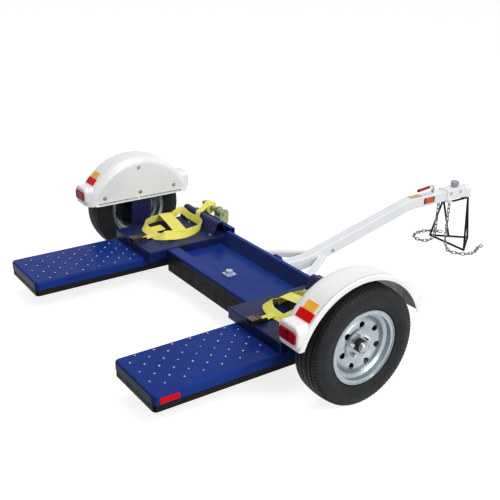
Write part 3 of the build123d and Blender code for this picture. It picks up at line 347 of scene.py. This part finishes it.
def lensFinish(name, first, second, prismMm, turnDeg, bar=None):
    # moulded acrylic lens: deep clear colour, glossy skin, rows of prisms inside that break up the light
    turn = math.radians(turnDeg)
    finish, tree, shader, place = startFinish(name, {
        "IOR": 1.49, "Roughness": 0.28, "Specular IOR Level": 0.06,
        "Coat Weight": 0.03, "Coat Roughness": 0.05})
    turned = addNode(tree, "Mapping", {"Vector": place, "Rotation": (0.0, turn, turn)}).outputs["Vector"]
    prism = addNode(tree, "TexVoronoi", {
        "Vector": turned, "Scale": 1 / (prismMm * mm), "Randomness": 0.15}, distance="CHEBYCHEV")
    clouds = addNode(tree, "TexNoise", {"Vector": place, "Scale": 1 / (6 * prismMm * mm), "Detail": 2.0})
    depth = addNode(tree, "Math", {
        0: prism.outputs["Distance"], 1: 0.5, 2: clouds.outputs["Fac"]}, operation="MULTIPLY_ADD")
    share = addNode(tree, "MapRange", {"Value": depth.outputs[0], "From Min": 0.45, "From Max": 1.0})
    mix = addNode(tree, "Mix", {
        mixShare: share.outputs["Result"], mixFirst: hexColour(first),
        mixSecond: hexColour(second)}, data_type="RGBA")
    colour = mix.outputs[mixColour]
    if bar:
        # a dark bar across the lens, as far from the middle of the trailer on one side as on the other
        x = addNode(tree, "SeparateXYZ", {"Vector": place}).outputs["X"]
        out = addNode(tree, "Math", {0: x}, operation="ABSOLUTE")
        onBar = addNode(tree, "Math", {0: out.outputs[0], 1: bar["at"], 2: bar["half"]}, operation="COMPARE")
        mix = addNode(tree, "Mix", {
            mixShare: onBar.outputs[0], mixFirst: colour,
            mixSecond: hexColour(bar["colour"])}, data_type="RGBA")
        colour = mix.outputs[mixColour]
    bump = addNode(tree, "Bump", {"Height": prism.outputs["Distance"], "Distance": 0.4 * mm, "Strength": 0.3})
    wire(tree, shader, {"Base Color": colour, "Normal": bump.outputs["Normal"]})
    return finish


def rubbedHighlitPaint(name, first, second, bare, fromZ, overMm, brokenMm=3.6):
    # enamel over pressed dimples: tyres rub their crowns, so paint thins to pale steel with height; the pale
    # crowns also stand as a painted highlight
    finish, tree, shader, place = startFinish(name, {
        "IOR": 1.5, "Specular IOR Level": 0.3, "Coat Weight": 0.15, "Coat Roughness": 0.08})
    height = addNode(tree, "SeparateXYZ", {"Vector": place}).outputs["Z"]
    noise = addNode(tree, "TexNoise", {"Vector": place, "Scale": 1 / (60 * mm), "Detail": 4.0})
    broken = addNode(tree, "Math", {
        0: noise.outputs["Fac"], 1: brokenMm * mm, 2: height}, operation="MULTIPLY_ADD")
    share = addNode(tree, "MapRange", {
        "Value": broken.outputs[0], "From Min": fromZ, "From Max": fromZ + overMm * mm})
    mix = addNode(tree, "Mix", {
        mixShare: share.outputs["Result"], mixFirst: clouded(tree, place, 90, first, second),
        mixSecond: hexColour(bare)}, data_type="RGBA")
    wire(tree, shader, {
        "Base Color": mix.outputs[mixColour], "Roughness": ranged(tree, place, 20, 0.22, 0.4)})
    return finish


def endedFinish(name, first, second, end, node, endMm, rough):
    # coloured middle with dark ends: the distance along the trailer from the piece's middle says which
    low, high = (corner[1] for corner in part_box(node))
    finish, tree, shader, place = startFinish(name, {
        "IOR": 1.48, "Roughness": rough, "Specular IOR Level": 0.2, "Coat Weight": 0.06})
    y = addNode(tree, "SeparateXYZ", {"Vector": place}).outputs["Y"]
    away = addNode(tree, "Math", {0: y, 1: (low + high) / 2}, operation="SUBTRACT")
    far = addNode(tree, "Math", {0: away.outputs[0]}, operation="ABSOLUTE")
    isEnd = addNode(tree, "Math", {
        0: far.outputs[0], 1: (high - low) / 2 - endMm * mm}, operation="GREATER_THAN")
    mix = addNode(tree, "Mix", {
        mixShare: isEnd.outputs[0], mixFirst: clouded(tree, place, 12, first, second),
        mixSecond: hexColour(end)}, data_type="RGBA")
    wire(tree, shader, {
        "Base Color": mix.outputs[mixColour],
        "Normal": grained(tree, place, 3.0, depthMm=0.08, strength=0.4),
    })
    return finish


rampLow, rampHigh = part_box("right_ramp")
lensBar = dict(at=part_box("tail_lamps")[1][0] - 55 * mm, half=3.5 * mm, colour="#3a0508")
finishes = dict(
    # the blue's rear-facing faces darken towards near black: painted shade
    blue=paintFinish(
        "sprayed_royal_blue_enamel", "#1b3788", "#17307c", rough=0.22, gloss=0.04, rearShade="#12161f"),
    # dimples: the flanks' blue, darker than the ramps' enamel, is painted shade; the pale crowns are rubbed
    # steel and painted highlight
    dimple=rubbedHighlitPaint(
        "rubbed_highlit_shaded_blue_enamel", "#12225a", "#0e1b4a", bare="#c9d2ee", fromZ=rampHigh[2] + 6.6 * mm, overMm=1.8),
    scuffed=scuffedPaint("tyre_scuffed_blue_enamel", "#162559", "#121b42", scuff="#34374c", rough=0.3),
    # stops and axle risers: a darker, greyer blue than the ramps' enamel as painted shade, under the rubber
    # dust film
    stop=scuffedPaint("rubbed_and_shaded_blue_enamel", "#25295a", "#1d2148", scuff="#4a4864", rough=0.26),
    # black enamel; on the ramp rails and the bed's rear beam it is painted shade under the blue ramps and bed
    black=paintFinish("black_enamel_and_painted_shade", "#161717", "#1e1e1d", rough=0.5, gloss=0.06),
    white=paintFinish("sprayed_white_enamel", "#ebedef", "#e4e7ea", rough=0.28, gloss=0.3, coat=0.1),
    moulded=mouldedFinish(),
    # grey bead standing for the shade along the fender's moulded crease: painted shade
    creaseShade=paintFinish("painted_crease_shade", "#b9bdc0", "#a6aaae", rough=0.5, gloss=0.3),
    rubber=rubberFinish(),
    silver=metalFinish(
        "silver_wheel_lacquer", "#adb6bb", "#9aa3a8", rough=0.32, grainMm=1.5, depthMm=0.02, metallic=0.85),
    hub=paintFinish("cast_iron_black_paint", "#141517", "#1d1e20", rough=0.45, gloss=0.25, peelMm=7.0),
    zinc=metalFinish("bright_zinc_plate", "#c6c9cb", "#a9adb0", rough=0.28),
    cap=metalFinish("polished_zinc_cap", "#b4b8bc", "#999da2", rough=0.16),
    boltPlate=metalFinish(
        "zinc_plated_bolt_plate", "#c8cde2", "#b0b7d2", rough=0.35, grainMm=3.0, depthMm=0.05, metallic=0.2),
    steel=metalFinish("machined_steel", "#8b8d8f", "#76787b", rough=0.35),
    cast=metalFinish(
        "cast_zinc_handwheel", "#a2a5a6", "#87898b", rough=0.5, grainMm=4.0, depthMm=0.12, metallic=0.8),
    chain=metalFinish("galvanised_chain_steel", "#85898c", "#63676a", rough=0.42),
    winch=metalFinish("olive_passivated_steel", "#a9b58d", "#83916a", rough=0.42, metallic=0.6),
    ratchet=metalFinish("brown_passivated_steel", "#6a5d57", "#4b413e", rough=0.4),
    webbing=webbingFinish(),
    tailLens=lensFinish(
        "moulded_red_lamp_acrylic", "#8c0714", "#c80f1c", prismMm=9, turnDeg=40, bar=lensBar),
    redPatch=lensFinish("red_prism_reflector", "#d20508", "#e0090d", prismMm=6, turnDeg=45),
    amberPatch=lensFinish("amber_prism_reflector", "#f2ab1f", "#fcc656", prismMm=6, turnDeg=45),
    marker=endedFinish(
        "orange_marker_acrylic", "#b84a18", "#cc5d22", end="#3a1c14", node="side_markers",
        endMm=12, rough=0.25),
    grip=endedFinish(
        "dipped_red_vinyl", "#c21d2a", "#a81823", end="#241f20", node="lever_grip", endMm=9, rough=0.38),
    plate=paintFinish("printed_tan_foil", "#cfae74", "#bf9c5c", rough=0.42, gloss=0.3),
)


def pair(*names):
    return [side + name for name in names for side in ("left_", "right_")]


finishOf = dict(
    blue=["bed_pan", "tongue_bracket", *pair("ramp", "winch_rail")],
    scuffed=pair("wheel_pan"),
    # the axle risers take the stops' darker blue as painted shade
    stop=pair("wheel_stop", "axle_riser"),
    # the ramp rails and the bed's rear beam are black as painted shade under the blue ramps and bed
    black=["axle_beam", "bed_rear_beam", "bed_front_beam", "bed_rails", "centre_plate", "stand",
           *pair("ramp_rails")],
    white=["tongue", "coupler", "chain_bracket", "lever_bracket", *pair("tongue_brace")],
    moulded=pair("fender"),
    rubber=pair("tyre"),
    silver=pair("rim"),
    hub=pair("hub"),
    zinc=["latch_lever", *pair("lug_nuts")],
    boltPlate=["pan_bolt"],
    cap=pair("dust_cap"),
    steel=["spindles"],
    cast=["coupler_handwheel"],
    chain=pair("safety_chain"),
    winch=pair("strap_winch"),
    ratchet=pair("strap_buckle"),
    webbing=pair("tyre_strap"),
    tailLens=["tail_lamps"],
    redPatch=["ramp_reflectors", "fender_red_reflectors"],
    amberPatch=["fender_amber_reflectors"],
    marker=["side_markers"],
    grip=["lever_grip"],
)
for finishName, members in finishOf.items():
    for node in members:
        nodes[node].data.materials.clear()
        nodes[node].data.materials.append(finishes[finishName])
print("finishes set on", sum(len(m) for m in finishOf.values()), "nodes")


# traction dimples pressed up in the ramps

dimples = dict(
    rows=13, perRow=(3, 4), pitchAcross=100 * mm, pitchAlong=53 * mm, firstAcross=32 * mm, firstAlong=49 * mm,
    radius=9.5 * mm, height=6.5 * mm, skirt=1.5 * mm, outMost=1.06, inMost=0.12, rings=6, sides=14,
)


def dimpleDomes(low, high):
    # height falls from a dimple's middle as one less the cube of the distance out, so the flanks are steep;
    # every other row has one fewer and starts half a pitch in
    d = dimples
    out = np.linspace(d["outMost"], d["inMost"], d["rings"])
    rise = 1 - np.minimum(out, 1.0) ** 3
    profile = np.stack([rise * d["height"] - (out > 1) * d["skirt"], out * d["radius"]], -1)
    domes = []
    for row in range(d["rows"]):
        inset = d["pitchAcross"] / 2 if row % 2 == 0 else 0.0
        y = low[1] + d["firstAlong"] + row * d["pitchAlong"]
        for k in range(d["perRow"][row % 2]):
            x = low[0] + d["firstAcross"] + inset + k * d["pitchAcross"]
            domes.append(lathe(profile, d["sides"], (x, y, high[2]), upwards))
    return domes


domes = dimpleDomes(rampLow, rampHigh)
for side, flip in bothSides:
    makePiece(side + "_ramp_dimples", [patch(flip(p)) for p in domes], finishes["dimple"])
print("ramp dimples:", len(domes), "a side")


# tyres with tread blocks and ringed sidewalls

tyre = dict(
    beadLow=178.0, sidewall=((69.8, 199.5), (80.3, 208.3), (92.5, 249.9), (85.5, 288.3), (75.0, 309.1)),
    perRun=9, crownHigh=7.5, crownEdge=74.0, crownPoints=17, ringsFrom=70 * mm,
    # rings on the sidewall: radius, height and half width in mm
    rings=((210, 2.2, 5.0), (224, 1.2, 2.5), (236, 1.0, 2.5),
           (266, 1.2, 2.5), (277, 1.0, 2.5), (291, 1.2, 2.5)),
)
tread = dict(
    pitches=96, slotShare=0.4, slotEdge=0.03, blockEnd=0.8,
    slotDepth=3 * mm, slotFrom=60 * mm, slotAbove=300 * mm,
    grooveAt=(-46.9, -16.9, 16.9, 46.9), grooveWalls=(3.3, 4.3), grooveHalf=4 * mm, grooveDepth=7 * mm,
    zigzag=2.4 * mm,
)


def tyreSection():
    # bead, sidewall through its widest point, tread crown as a shallow parabola, and the same mirrored
    shoulderX, shoulderR = tyre["sidewall"][-1]
    bead = np.array([(tyre["sidewall"][0][0], tyre["beadLow"])])
    half = np.concatenate([bead, smoothLine(tyre["sidewall"], tyre["perRun"])])
    edges = [g + s * d for g in tread["grooveAt"] for s in (-1, 1) for d in tread["grooveWalls"]]
    even = np.linspace(-tyre["crownEdge"], tyre["crownEdge"], tyre["crownPoints"])
    across = np.unique(np.concatenate([even, edges]))[::-1]
    crown = np.stack([across, shoulderR + tyre["crownHigh"] * (1 - (across / shoulderX) ** 2)], -1)
    return np.concatenate([half, crown, half[::-1] * (-1, 1)]) * mm


def tyreSurface(centre):
    # the section turned round the axle, each point moved along the section's normal: in at grooves and
    # slots, out at rings that swell as bell curves; the tread also sways sideways with each pitch
    section = tyreSection()
    slope = unit(np.gradient(section, axis=0))
    normal = np.stack([slope[:, 1], -slope[:, 0]], -1)
    edge, slotEnd = tread["slotEdge"], tread["slotShare"]
    share = np.concatenate([[0, edge, slotEnd - edge], np.linspace(slotEnd, tread["blockEnd"], 3)])
    turn = ((np.arange(tread["pitches"])[:, None] + share) / tread["pitches"]).ravel() * 2 * np.pi
    phase = np.tile(share, tread["pitches"])
    x, r = section[:, :1], section[:, 1:]
    shoulder = tyre["sidewall"][-1][0] * mm
    onTread = np.abs(x) < shoulder - 0.5 * mm
    isGroove = sum((np.abs(x - g * mm) < tread["grooveHalf"]).astype(float) for g in tread["grooveAt"])
    inSlot = (phase > edge / 2) & (phase < slotEnd - edge / 2)
    isSlot = inSlot[None] * ((np.abs(x) > tread["slotFrom"]) & (r > tread["slotAbove"]))
    rings = sum(high * np.exp(-(((r / mm - at) / wide) ** 2)) for at, high, wide in tyre["rings"])
    rings = rings * mm * (np.abs(x) > tyre["ringsFrom"])
    push = rings - np.maximum(onTread * isGroove * tread["grooveDepth"], isSlot * tread["slotDepth"])
    zig = tread["zigzag"] * (np.abs(2 * phase - 1) * 2 - 1)[None] * onTread * (1 - (x / shoulder) ** 4)
    px = x + push * normal[:, :1] + zig
    pr = r + push * normal[:, 1:]
    return np.stack([px, pr * np.cos(turn), pr * np.sin(turn)], -1) + np.asarray(centre)


for side in ("right", "left"):
    low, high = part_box(side + "_tyre")
    shape = tyreSurface((low + high) / 2)
    makePiece(side + "_treaded_tyre", [patch(shape, closed=True)], finishes["rubber"],
              side + "_wheel", [side + "_tyre"], creaseDeg=30)
print("tyres:", shape.shape[0] * shape.shape[1], "points each")


# yellow webbing of the tyre straps; places along the trailer count from the axle

axleY = sum(corner[1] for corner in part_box("right_tyre")) / 2
strap = dict(
    width=48 * mm, crossWidth=88 * mm, thick=3.4 * mm, edgeThin=0.45, floor=266.3 * mm,
    rollR=42 * mm, coreR=14.4 * mm, layers=8, layerStep=1.6 * mm,
    # round the loop: x and y of the band's middle, how far its top leans in (degrees), its lift off the
    # pan, and its width, which grows where two bands lie together
    loop=((700, -112, 60, 0, 54), (790, -108, 46, 2, 52), (842, -78, 16, 5, 48), (868, -10, 4, 8, 48),
          (874, 60, 0, 9, 48), (866, 118, -4, 1, 48), (880, 172, -8, 14, 48), (880, 226, -18, 32, 48),
          (815, 244, -25, 12, 46), (740, 246, -25, 12, 48), (672, 244, -24, 10, 48), (618, 222, -12, 3, 48),
          (578, 160, 6, 0, 50), (552, 72, 26, 0, 56), (560, -18, 42, 2, 66), (562, -82, 50, 14, 66),
          (612, -110, 58, 2, 58)),
    loopPerRun=12,
)
cross = dict(start=(870, 86), end=(572, 28), reach=162.0, high=(326.0, 319.0), bow=4.0, drop=50.0, splay=3.0,
             radius=11 * mm, step=3 * mm)
flap = dict(plan=((742, -116), (736, -62), (731, -4)), z=(280.0, 290.0), width=88 * mm, perRun=12)
stopSlope = dict(footY=234.7 * mm, rise=(42.0, 91.0), crestEnd=309 * mm)
tail = dict(x=800 * mm, fromX=716 * mm, fromZ=292 * mm, drift=1.3, meetDeg=38,
            rollY=409 * mm, rollZ=336.5 * mm, clear=1.2 * mm, radius=12 * mm, step=4 * mm)
lead = dict(x=660 * mm, start=-202 * mm, end=-112 * mm, z=272.5 * mm, lift=9 * mm, points=26)


def webbing(line, across, width=strap["width"]):
    # a flat band with thinner edges carried along the line, as wide as it is there; the weave runs with
    # the distance along and the offset across
    a = np.linspace(-1, 1, 9)
    half = strap["thick"] / 2 * np.where(np.abs(a) > 0.99, strap["edgeThin"], 1.0)
    top = np.stack([a / 2, half], -1)
    profile = np.concatenate([top, top[::-1] * (1, -1)])
    wide = np.broadcast_to(width, len(line))
    spread = profile[None] * np.stack([wide, np.ones(len(line))], -1)[:, None]
    far = lengthAlong(line)
    weave = np.stack(np.broadcast_arrays(far[:, None], spread[..., 0], np.zeros((1, 1))), -1)
    return dict(points=sweep(line, across, spread), weave=weave, length=far[-1], width=float(np.mean(wide)))


def netLoop():
    # a ring that wanders on the wheel pan, the band on edge, its lean and lift eased from point to point
    posts, perRun = np.array(strap["loop"], float), strap["loopPerRun"]
    ring = smoothLine(np.concatenate([posts[-2:], posts, posts[:3]]), perRun)[2 * perRun:1 - 2 * perRun]
    x, y, lift, wide = (ring[:, [0, 1, 3, 4]] * mm).T
    lean = np.radians(ring[:, 2])
    z = strap["floor"] + wide / 2 * np.cos(lean) + strap["thick"] / 2 * np.abs(np.sin(lean)) + lift
    line = np.stack([x, y, z], -1)
    along = unit(np.gradient(line, axis=0) * (1, 1, 0))
    inward = np.cross(upwards, along)
    return line, np.cos(lean)[:, None] * upwards + np.sin(lean)[:, None] * inward, wide


def crossBand():
    # up the outside of the loop, over it in a low bow and down its other side
    a, b = np.array(cross["start"]), np.array(cross["end"])
    way = (b - a) / np.linalg.norm(b - a)
    r, (h0, h1), drop, splay = cross["reach"], cross["high"], cross["drop"], cross["splay"]
    middle = (0, (h0 + h1) / 2 + cross["bow"])
    posts = [(-r - splay, h0 - drop), (-r + splay, h0), middle, (r - splay, h1), (r + splay, h1 - drop)]
    run = roundedRun(np.array(posts) * mm, cross["radius"], cross["step"])
    plan = (a + b) / 2 * mm + run[:, :1] * way
    line = np.concatenate([plan, run[:, 1:]], 1)
    return line, np.tile(np.array([-way[1], way[0], 0.0]), (len(run), 1)), strap["crossWidth"]


def flapBand():
    # a wide ply that lies flat over the loop's rear and reaches into it
    plan = smoothLine(np.array(flap["plan"], float) * mm, flap["perRun"])
    z = np.linspace(*flap["z"], len(plan)) * mm
    return np.concatenate([plan, z[:, None]], 1), np.tile(sideways, (len(plan), 1)), flap["width"]


def strapTail():
    # from the loop up the stop's slope, along its crest and on to the rear of the roll, drifting sideways
    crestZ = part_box("right_wheel_stop")[1][2]
    clear = strap["thick"] / 2 + tail["clear"]
    slope = unit(np.array(stopSlope["rise"]))
    foot = np.array([stopSlope["footY"], strap["floor"]]) + clear * np.array([-slope[1], slope[0]])
    crest = foot + slope * ((crestZ + clear - foot[1]) / slope[1])
    low = foot + slope * ((tail["fromZ"] - foot[1]) / slope[1])
    edge = np.array([stopSlope["crestEnd"], crestZ + clear])
    wrap = math.radians(tail["meetDeg"])
    rearward = np.array([-math.cos(wrap), math.sin(wrap)])
    meet = np.array([tail["rollY"], tail["rollZ"]]) + (strap["rollR"] - strap["thick"] / 2) * rearward
    run = roundedRun([low, crest, edge, meet], tail["radius"], tail["step"])
    t = np.clip((run[:, :1] - low[0]) / (meet[0] - low[0]), 0, 1)
    x = tail["fromX"] + (tail["x"] - tail["fromX"]) * t ** tail["drift"]
    return np.concatenate([x, run], 1), np.tile(sideways, (len(run), 1))


def strapLead():
    # short band from the ratchet's spool into the loop, lifting with the square of the way along
    t = np.linspace(0, 1, lead["points"])
    y = lead["start"] + (lead["end"] - lead["start"]) * t
    line = np.stack([np.full_like(t, lead["x"]), y, lead["z"] + lead["lift"] * t ** 2], -1)
    return line, np.tile(sideways, (len(t), 1))


def strapRoll():
    # wound layers: the outline of the roll with a shallow step at each layer on both flat ends
    edge = np.linspace(strap["coreR"], strap["rollR"], strap["layers"] * 2 + 1)
    half = strap["width"] / 2 - np.where(np.arange(len(edge)) % 2, 0.0, strap["layerStep"])
    right, left = np.stack([half, edge], -1), np.stack([-half, edge], -1)
    profile = np.concatenate([left, right[::-1]])
    return lathe(profile, 48, (tail["x"], tail["rollY"], tail["rollZ"]), sideways)


bands = [webbing(*make()) for make in (netLoop, crossBand, flapBand, strapTail, strapLead)]
fromAxle = np.array([0, axleY, 0])
for side, flip in bothSides:
    patches = [patch(flip(b["points"] + fromAxle), weave=b["weave"]) for b in bands]
    sling = makePiece(side + "_strap_webbing", patches, finishes["webbing"], "chassis",
                      [side + "_tyre_strap"], creaseDeg=50)
    roll = patch(flip(strapRoll() + fromAxle), closed=True)
    makePiece(side + "_strap_roll", [roll], finishes["webbing"])


# thin trim of the fenders: a grey bead as painted shade along the moulded crease over the outer lip, and the
# metal strips along the inner foot

crease = dict(x=1210.5 * mm, radius=411.0 * mm, midZ=276.6 * mm, fromDeg=38, toDeg=142, points=90,
              half=2.2 * mm, proud=0.7 * mm, edgeShare=0.4)
footStrip = dict(x=1036.5 * mm, low=400.2 * mm, high=416 * mm, fold=2 * mm, thick=2.2 * mm, sunk=0.4 * mm,
                 runs=((-318, -24), (-12, 318)), points=12)


def creaseBead():
    # a flat grey bead of painted crease shade carried round the fender's arc, its two offsets across the
    # fender and outwards
    turn = np.radians(np.linspace(crease["fromDeg"], crease["toDeg"], crease["points"]))
    out = np.stack([0 * turn, np.cos(turn), np.sin(turn)], -1)
    line = np.array([crease["x"], axleY, crease["midZ"]]) + crease["radius"] * out
    h, p = crease["half"], crease["proud"]
    edge = p * crease["edgeShare"]
    profile = np.array([(-h, -p), (-h, edge), (0, p), (h, edge), (h, -p)])
    return sweep(line, np.tile(sideways, (len(turn), 1)), profile)


def stripSlab(start, end):
    # a rectangle with a slanted upper edge carried along the fender's foot
    f = footStrip
    y = np.linspace(start, end, f["points"]) * mm + axleY
    line = np.stack([np.full_like(y, f["x"]), y, 0 * y], -1)
    section = np.array([
        (f["sunk"], f["low"]), (-f["thick"], f["low"]),
        (-f["thick"], f["high"] - f["fold"]), (f["sunk"], f["high"])])
    return line[:, None] + section[None, :, :1] * sideways + section[None, :, 1:] * upwards


bead = creaseBead()
strips = [stripSlab(*run) for run in footStrip["runs"]]
for side, flip in bothSides:
    makePiece(side + "_fender_crease_shade", [patch(flip(bead))], finishes["creaseShade"])
    makePiece(side + "_fender_foot_strip", [patch(flip(p)) for p in strips], finishes["zinc"])
print("fender trim done")


# bolts, with washers, where plates and panels meet; along and up places in mm, along from the axle

bolt = dict(head=9 * mm, high=7 * mm, washer=13 * mm, washerT=2 * mm, sunk=1 * mm, seat=0.5 * mm,
            bevel=1.5 * mm, topShare=0.8)
fenderBolts = dict(places=((-12, 623), (-5, 449), (-271, 447), (257, 456)), off=4 * mm, size=1.1)
stopBolts = dict(across=(500, 640, 770, 895), along=221, size=0.75)
tongueBolts = dict(along=831, up=210, inset=6 * mm, size=1.2)
couplerBolts = dict(along=(1914, 2013), up=412, size=1.1)


def boltAt(centre, facing, size):
    # a thin round washer and a six-sided head with a turned-down top
    b = bolt
    top = b["washerT"] + b["high"]
    washer = [(-b["sunk"], b["washer"]), (b["washerT"], b["washer"])]
    head = [(b["seat"], b["head"]), (top - b["bevel"], b["head"]), (top, b["head"] * b["topShare"])]
    return [patch(lathe(np.array(washer) * size, 24, centre, facing)),
            patch(lathe(np.array(head) * size, 6, centre, facing))]


def boltPiece(name, heads):
    makePiece(name, sum(heads, []), finishes["zinc"])


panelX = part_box("right_axle_riser")[0][0] - fenderBolts["off"]
for side, sign in (("right", 1), ("left", -1)):
    boltPiece(side + "_fender_bolts", [
        boltAt((sign * panelX, y * mm + axleY, z * mm), (-sign, 0, 0), fenderBolts["size"])
        for y, z in fenderBolts["places"]])
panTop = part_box("right_wheel_pan")[1][2]
boltPiece("wheel_stop_bolts", [
    boltAt((sign * x * mm, stopBolts["along"] * mm + axleY, panTop), upwards, stopBolts["size"])
    for x in stopBolts["across"] for sign in (1, -1)])
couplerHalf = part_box("coupler")[1][0]
tongueHalf = couplerHalf - tongueBolts["inset"]
tongueAt = (tongueBolts["along"] * mm + axleY, tongueBolts["up"] * mm)
boltPiece("tongue_bolts", [
    boltAt((sign * tongueHalf, *tongueAt), (sign, 0, 0), tongueBolts["size"]) for sign in (1, -1)])
boltPiece("coupler_bolts", [
    boltAt((sign * couplerHalf, y * mm + axleY, couplerBolts["up"] * mm), (sign, 0, 0), couplerBolts["size"])
    for sign in (1, -1) for y in couplerBolts["along"]])
print("bolts done")


# tan foil plate on the tongue's top

tanPlate = dict(start=1534 * mm, end=1640 * mm, half=26 * mm, thick=0.8 * mm, sunk=0.5 * mm, corner=5 * mm)


def plateSlab(top):
    # a rounded rectangle carried up through its thickness: each quarter circle is moved out to its corner
    p = tanPlate
    t = np.linspace(0, 2 * np.pi, 32, endpoint=False)
    halfLong = (p["end"] - p["start"]) / 2
    x = np.sign(np.cos(t)) * (p["half"] - p["corner"]) + p["corner"] * np.cos(t)
    y = np.sign(np.sin(t)) * (halfLong - p["corner"]) + p["corner"] * np.sin(t)
    ring = np.stack([x, y + (p["start"] + p["end"]) / 2 + axleY, 0 * x], -1)
    return ring[None] + upwards * np.array([top - p["sunk"], top + p["thick"]])[:, None, None]


slab = plateSlab(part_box("tongue")[1][2])
makePiece("tongue_plate", [patch(slab)], finishes["plate"])
print("tongue plate done")


# floor, light and camera

def seenRays(tree):
    # one for straight, mirrored and see-through looks, nought for light that falls on the trailer
    path = addNode(tree, "LightPath").outputs
    seen = addNode(tree, "Math", {
        0: path["Is Camera Ray"], 1: path["Is Glossy Ray"]}, operation="MAXIMUM")
    seen = addNode(tree, "Math", {
        0: seen.outputs[0], 1: path["Is Transmission Ray"]}, operation="MAXIMUM")
    return seen.outputs[0]


floorLook = dict(colour="#b2b2b2", glow=0.81, half=40.0)
floorMesh = bpy.data.meshes.new("floor")
span = np.array([-floorLook["half"], floorLook["half"]])
corners = np.stack(np.broadcast_arrays(span[None, :], span[:, None], np.zeros((1, 1))), -1)
floorMesh.from_pydata(corners.reshape(-1, 3).tolist(), [], [(0, 1, 3, 2)])
floor = bpy.data.objects.new("floor", floorMesh)
bpy.context.scene.collection.objects.link(floor)
# pale matt that takes shadows, with a glow for looks only
floorFinish = bpy.data.materials.new("matt_white_floor")
floorFinish.use_nodes = True
floorTree = floorFinish.node_tree
floorTree.nodes.remove(floorTree.nodes["Principled BSDF"])
glow = addNode(floorTree, "Math", {0: seenRays(floorTree), 1: floorLook["glow"]}, operation="MULTIPLY")
matt = addNode(floorTree, "BsdfDiffuse", {"Color": hexColour(floorLook["colour"])})
light = addNode(floorTree, "Emission", {"Color": (1, 1, 1, 1), "Strength": glow.outputs[0]})
mattAndGlow = addNode(floorTree, "AddShader", {0: matt.outputs[0], 1: light.outputs[0]})
floorTree.links.new(mattAndGlow.outputs[0], floorTree.nodes["Material Output"].inputs["Surface"])
floorMesh.materials.append(floorFinish)

sky = dict(ambient=0.36, seen=1.0)
world = bpy.data.worlds.new("studio")
bpy.context.scene.world = world
world.use_nodes = True
skyTree = world.node_tree
level = addNode(skyTree, "MapRange", {
    "Value": seenRays(skyTree), "To Min": sky["ambient"], "To Max": sky["seen"]})
background = skyTree.nodes["Background"]
background.inputs["Color"].default_value = (1, 1, 1, 1)
skyTree.links.new(level.outputs["Result"], background.inputs["Strength"])

lamps = dict(
    key=dict(at=(8.2, 1.0, 8.7), size=4.2, watts=540),
    side=dict(at=(11.3, 0.2, 3.8), size=5.0, watts=390),
    top=dict(at=(-1.5, -0.5, 9.3), size=6.0, watts=230),
)
aim = Vector((0.1, -0.5, 0.3))
for name, lamp in lamps.items():
    bulb = bpy.data.lights.new(name, "AREA")
    bulb.shape = "DISK"
    bulb.size = lamp["size"]
    bulb.energy = lamp["watts"]
    holder = bpy.data.objects.new(name, bulb)
    holder.location = lamp["at"]
    holder.rotation_mode = "QUATERNION"
    holder.rotation_quaternion = (aim - holder.location).to_track_quat("-Z", "Y")
    bpy.context.scene.collection.objects.link(holder)
print("floor, sky and", len(lamps), "lamps set")

shot = dict(
    at=(3.6911, -2.4477 + axleY, 2.2548), azimuthDeg=54.45, elevationDeg=22.85, rollDeg=1.483,
    focalPx=809.7, widthPx=500, sensorMm=36.0,
)
eye = bpy.data.cameras.new("camera")
eye.sensor_width = shot["sensorMm"]
eye.lens = shot["focalPx"] / shot["widthPx"] * shot["sensorMm"]
camera = bpy.data.objects.new("camera", eye)
azimuth, elevation = math.radians(shot["azimuthDeg"]), math.radians(shot["elevationDeg"])
flat = math.cos(elevation)
back = Vector((math.sin(azimuth) * flat, -math.cos(azimuth) * flat, math.sin(elevation)))
tilt = Quaternion((0, 0, 1), math.radians(shot["rollDeg"]))
camera.location = shot["at"]
camera.rotation_mode = "QUATERNION"
camera.rotation_quaternion = (-back).to_track_quat("-Z", "Y") @ tilt
bpy.context.scene.collection.objects.link(camera)
bpy.context.scene.camera = camera
bpy.context.scene.view_settings.view_transform = "Standard"
print("camera at", tuple(round(v, 3) for v in camera.location))
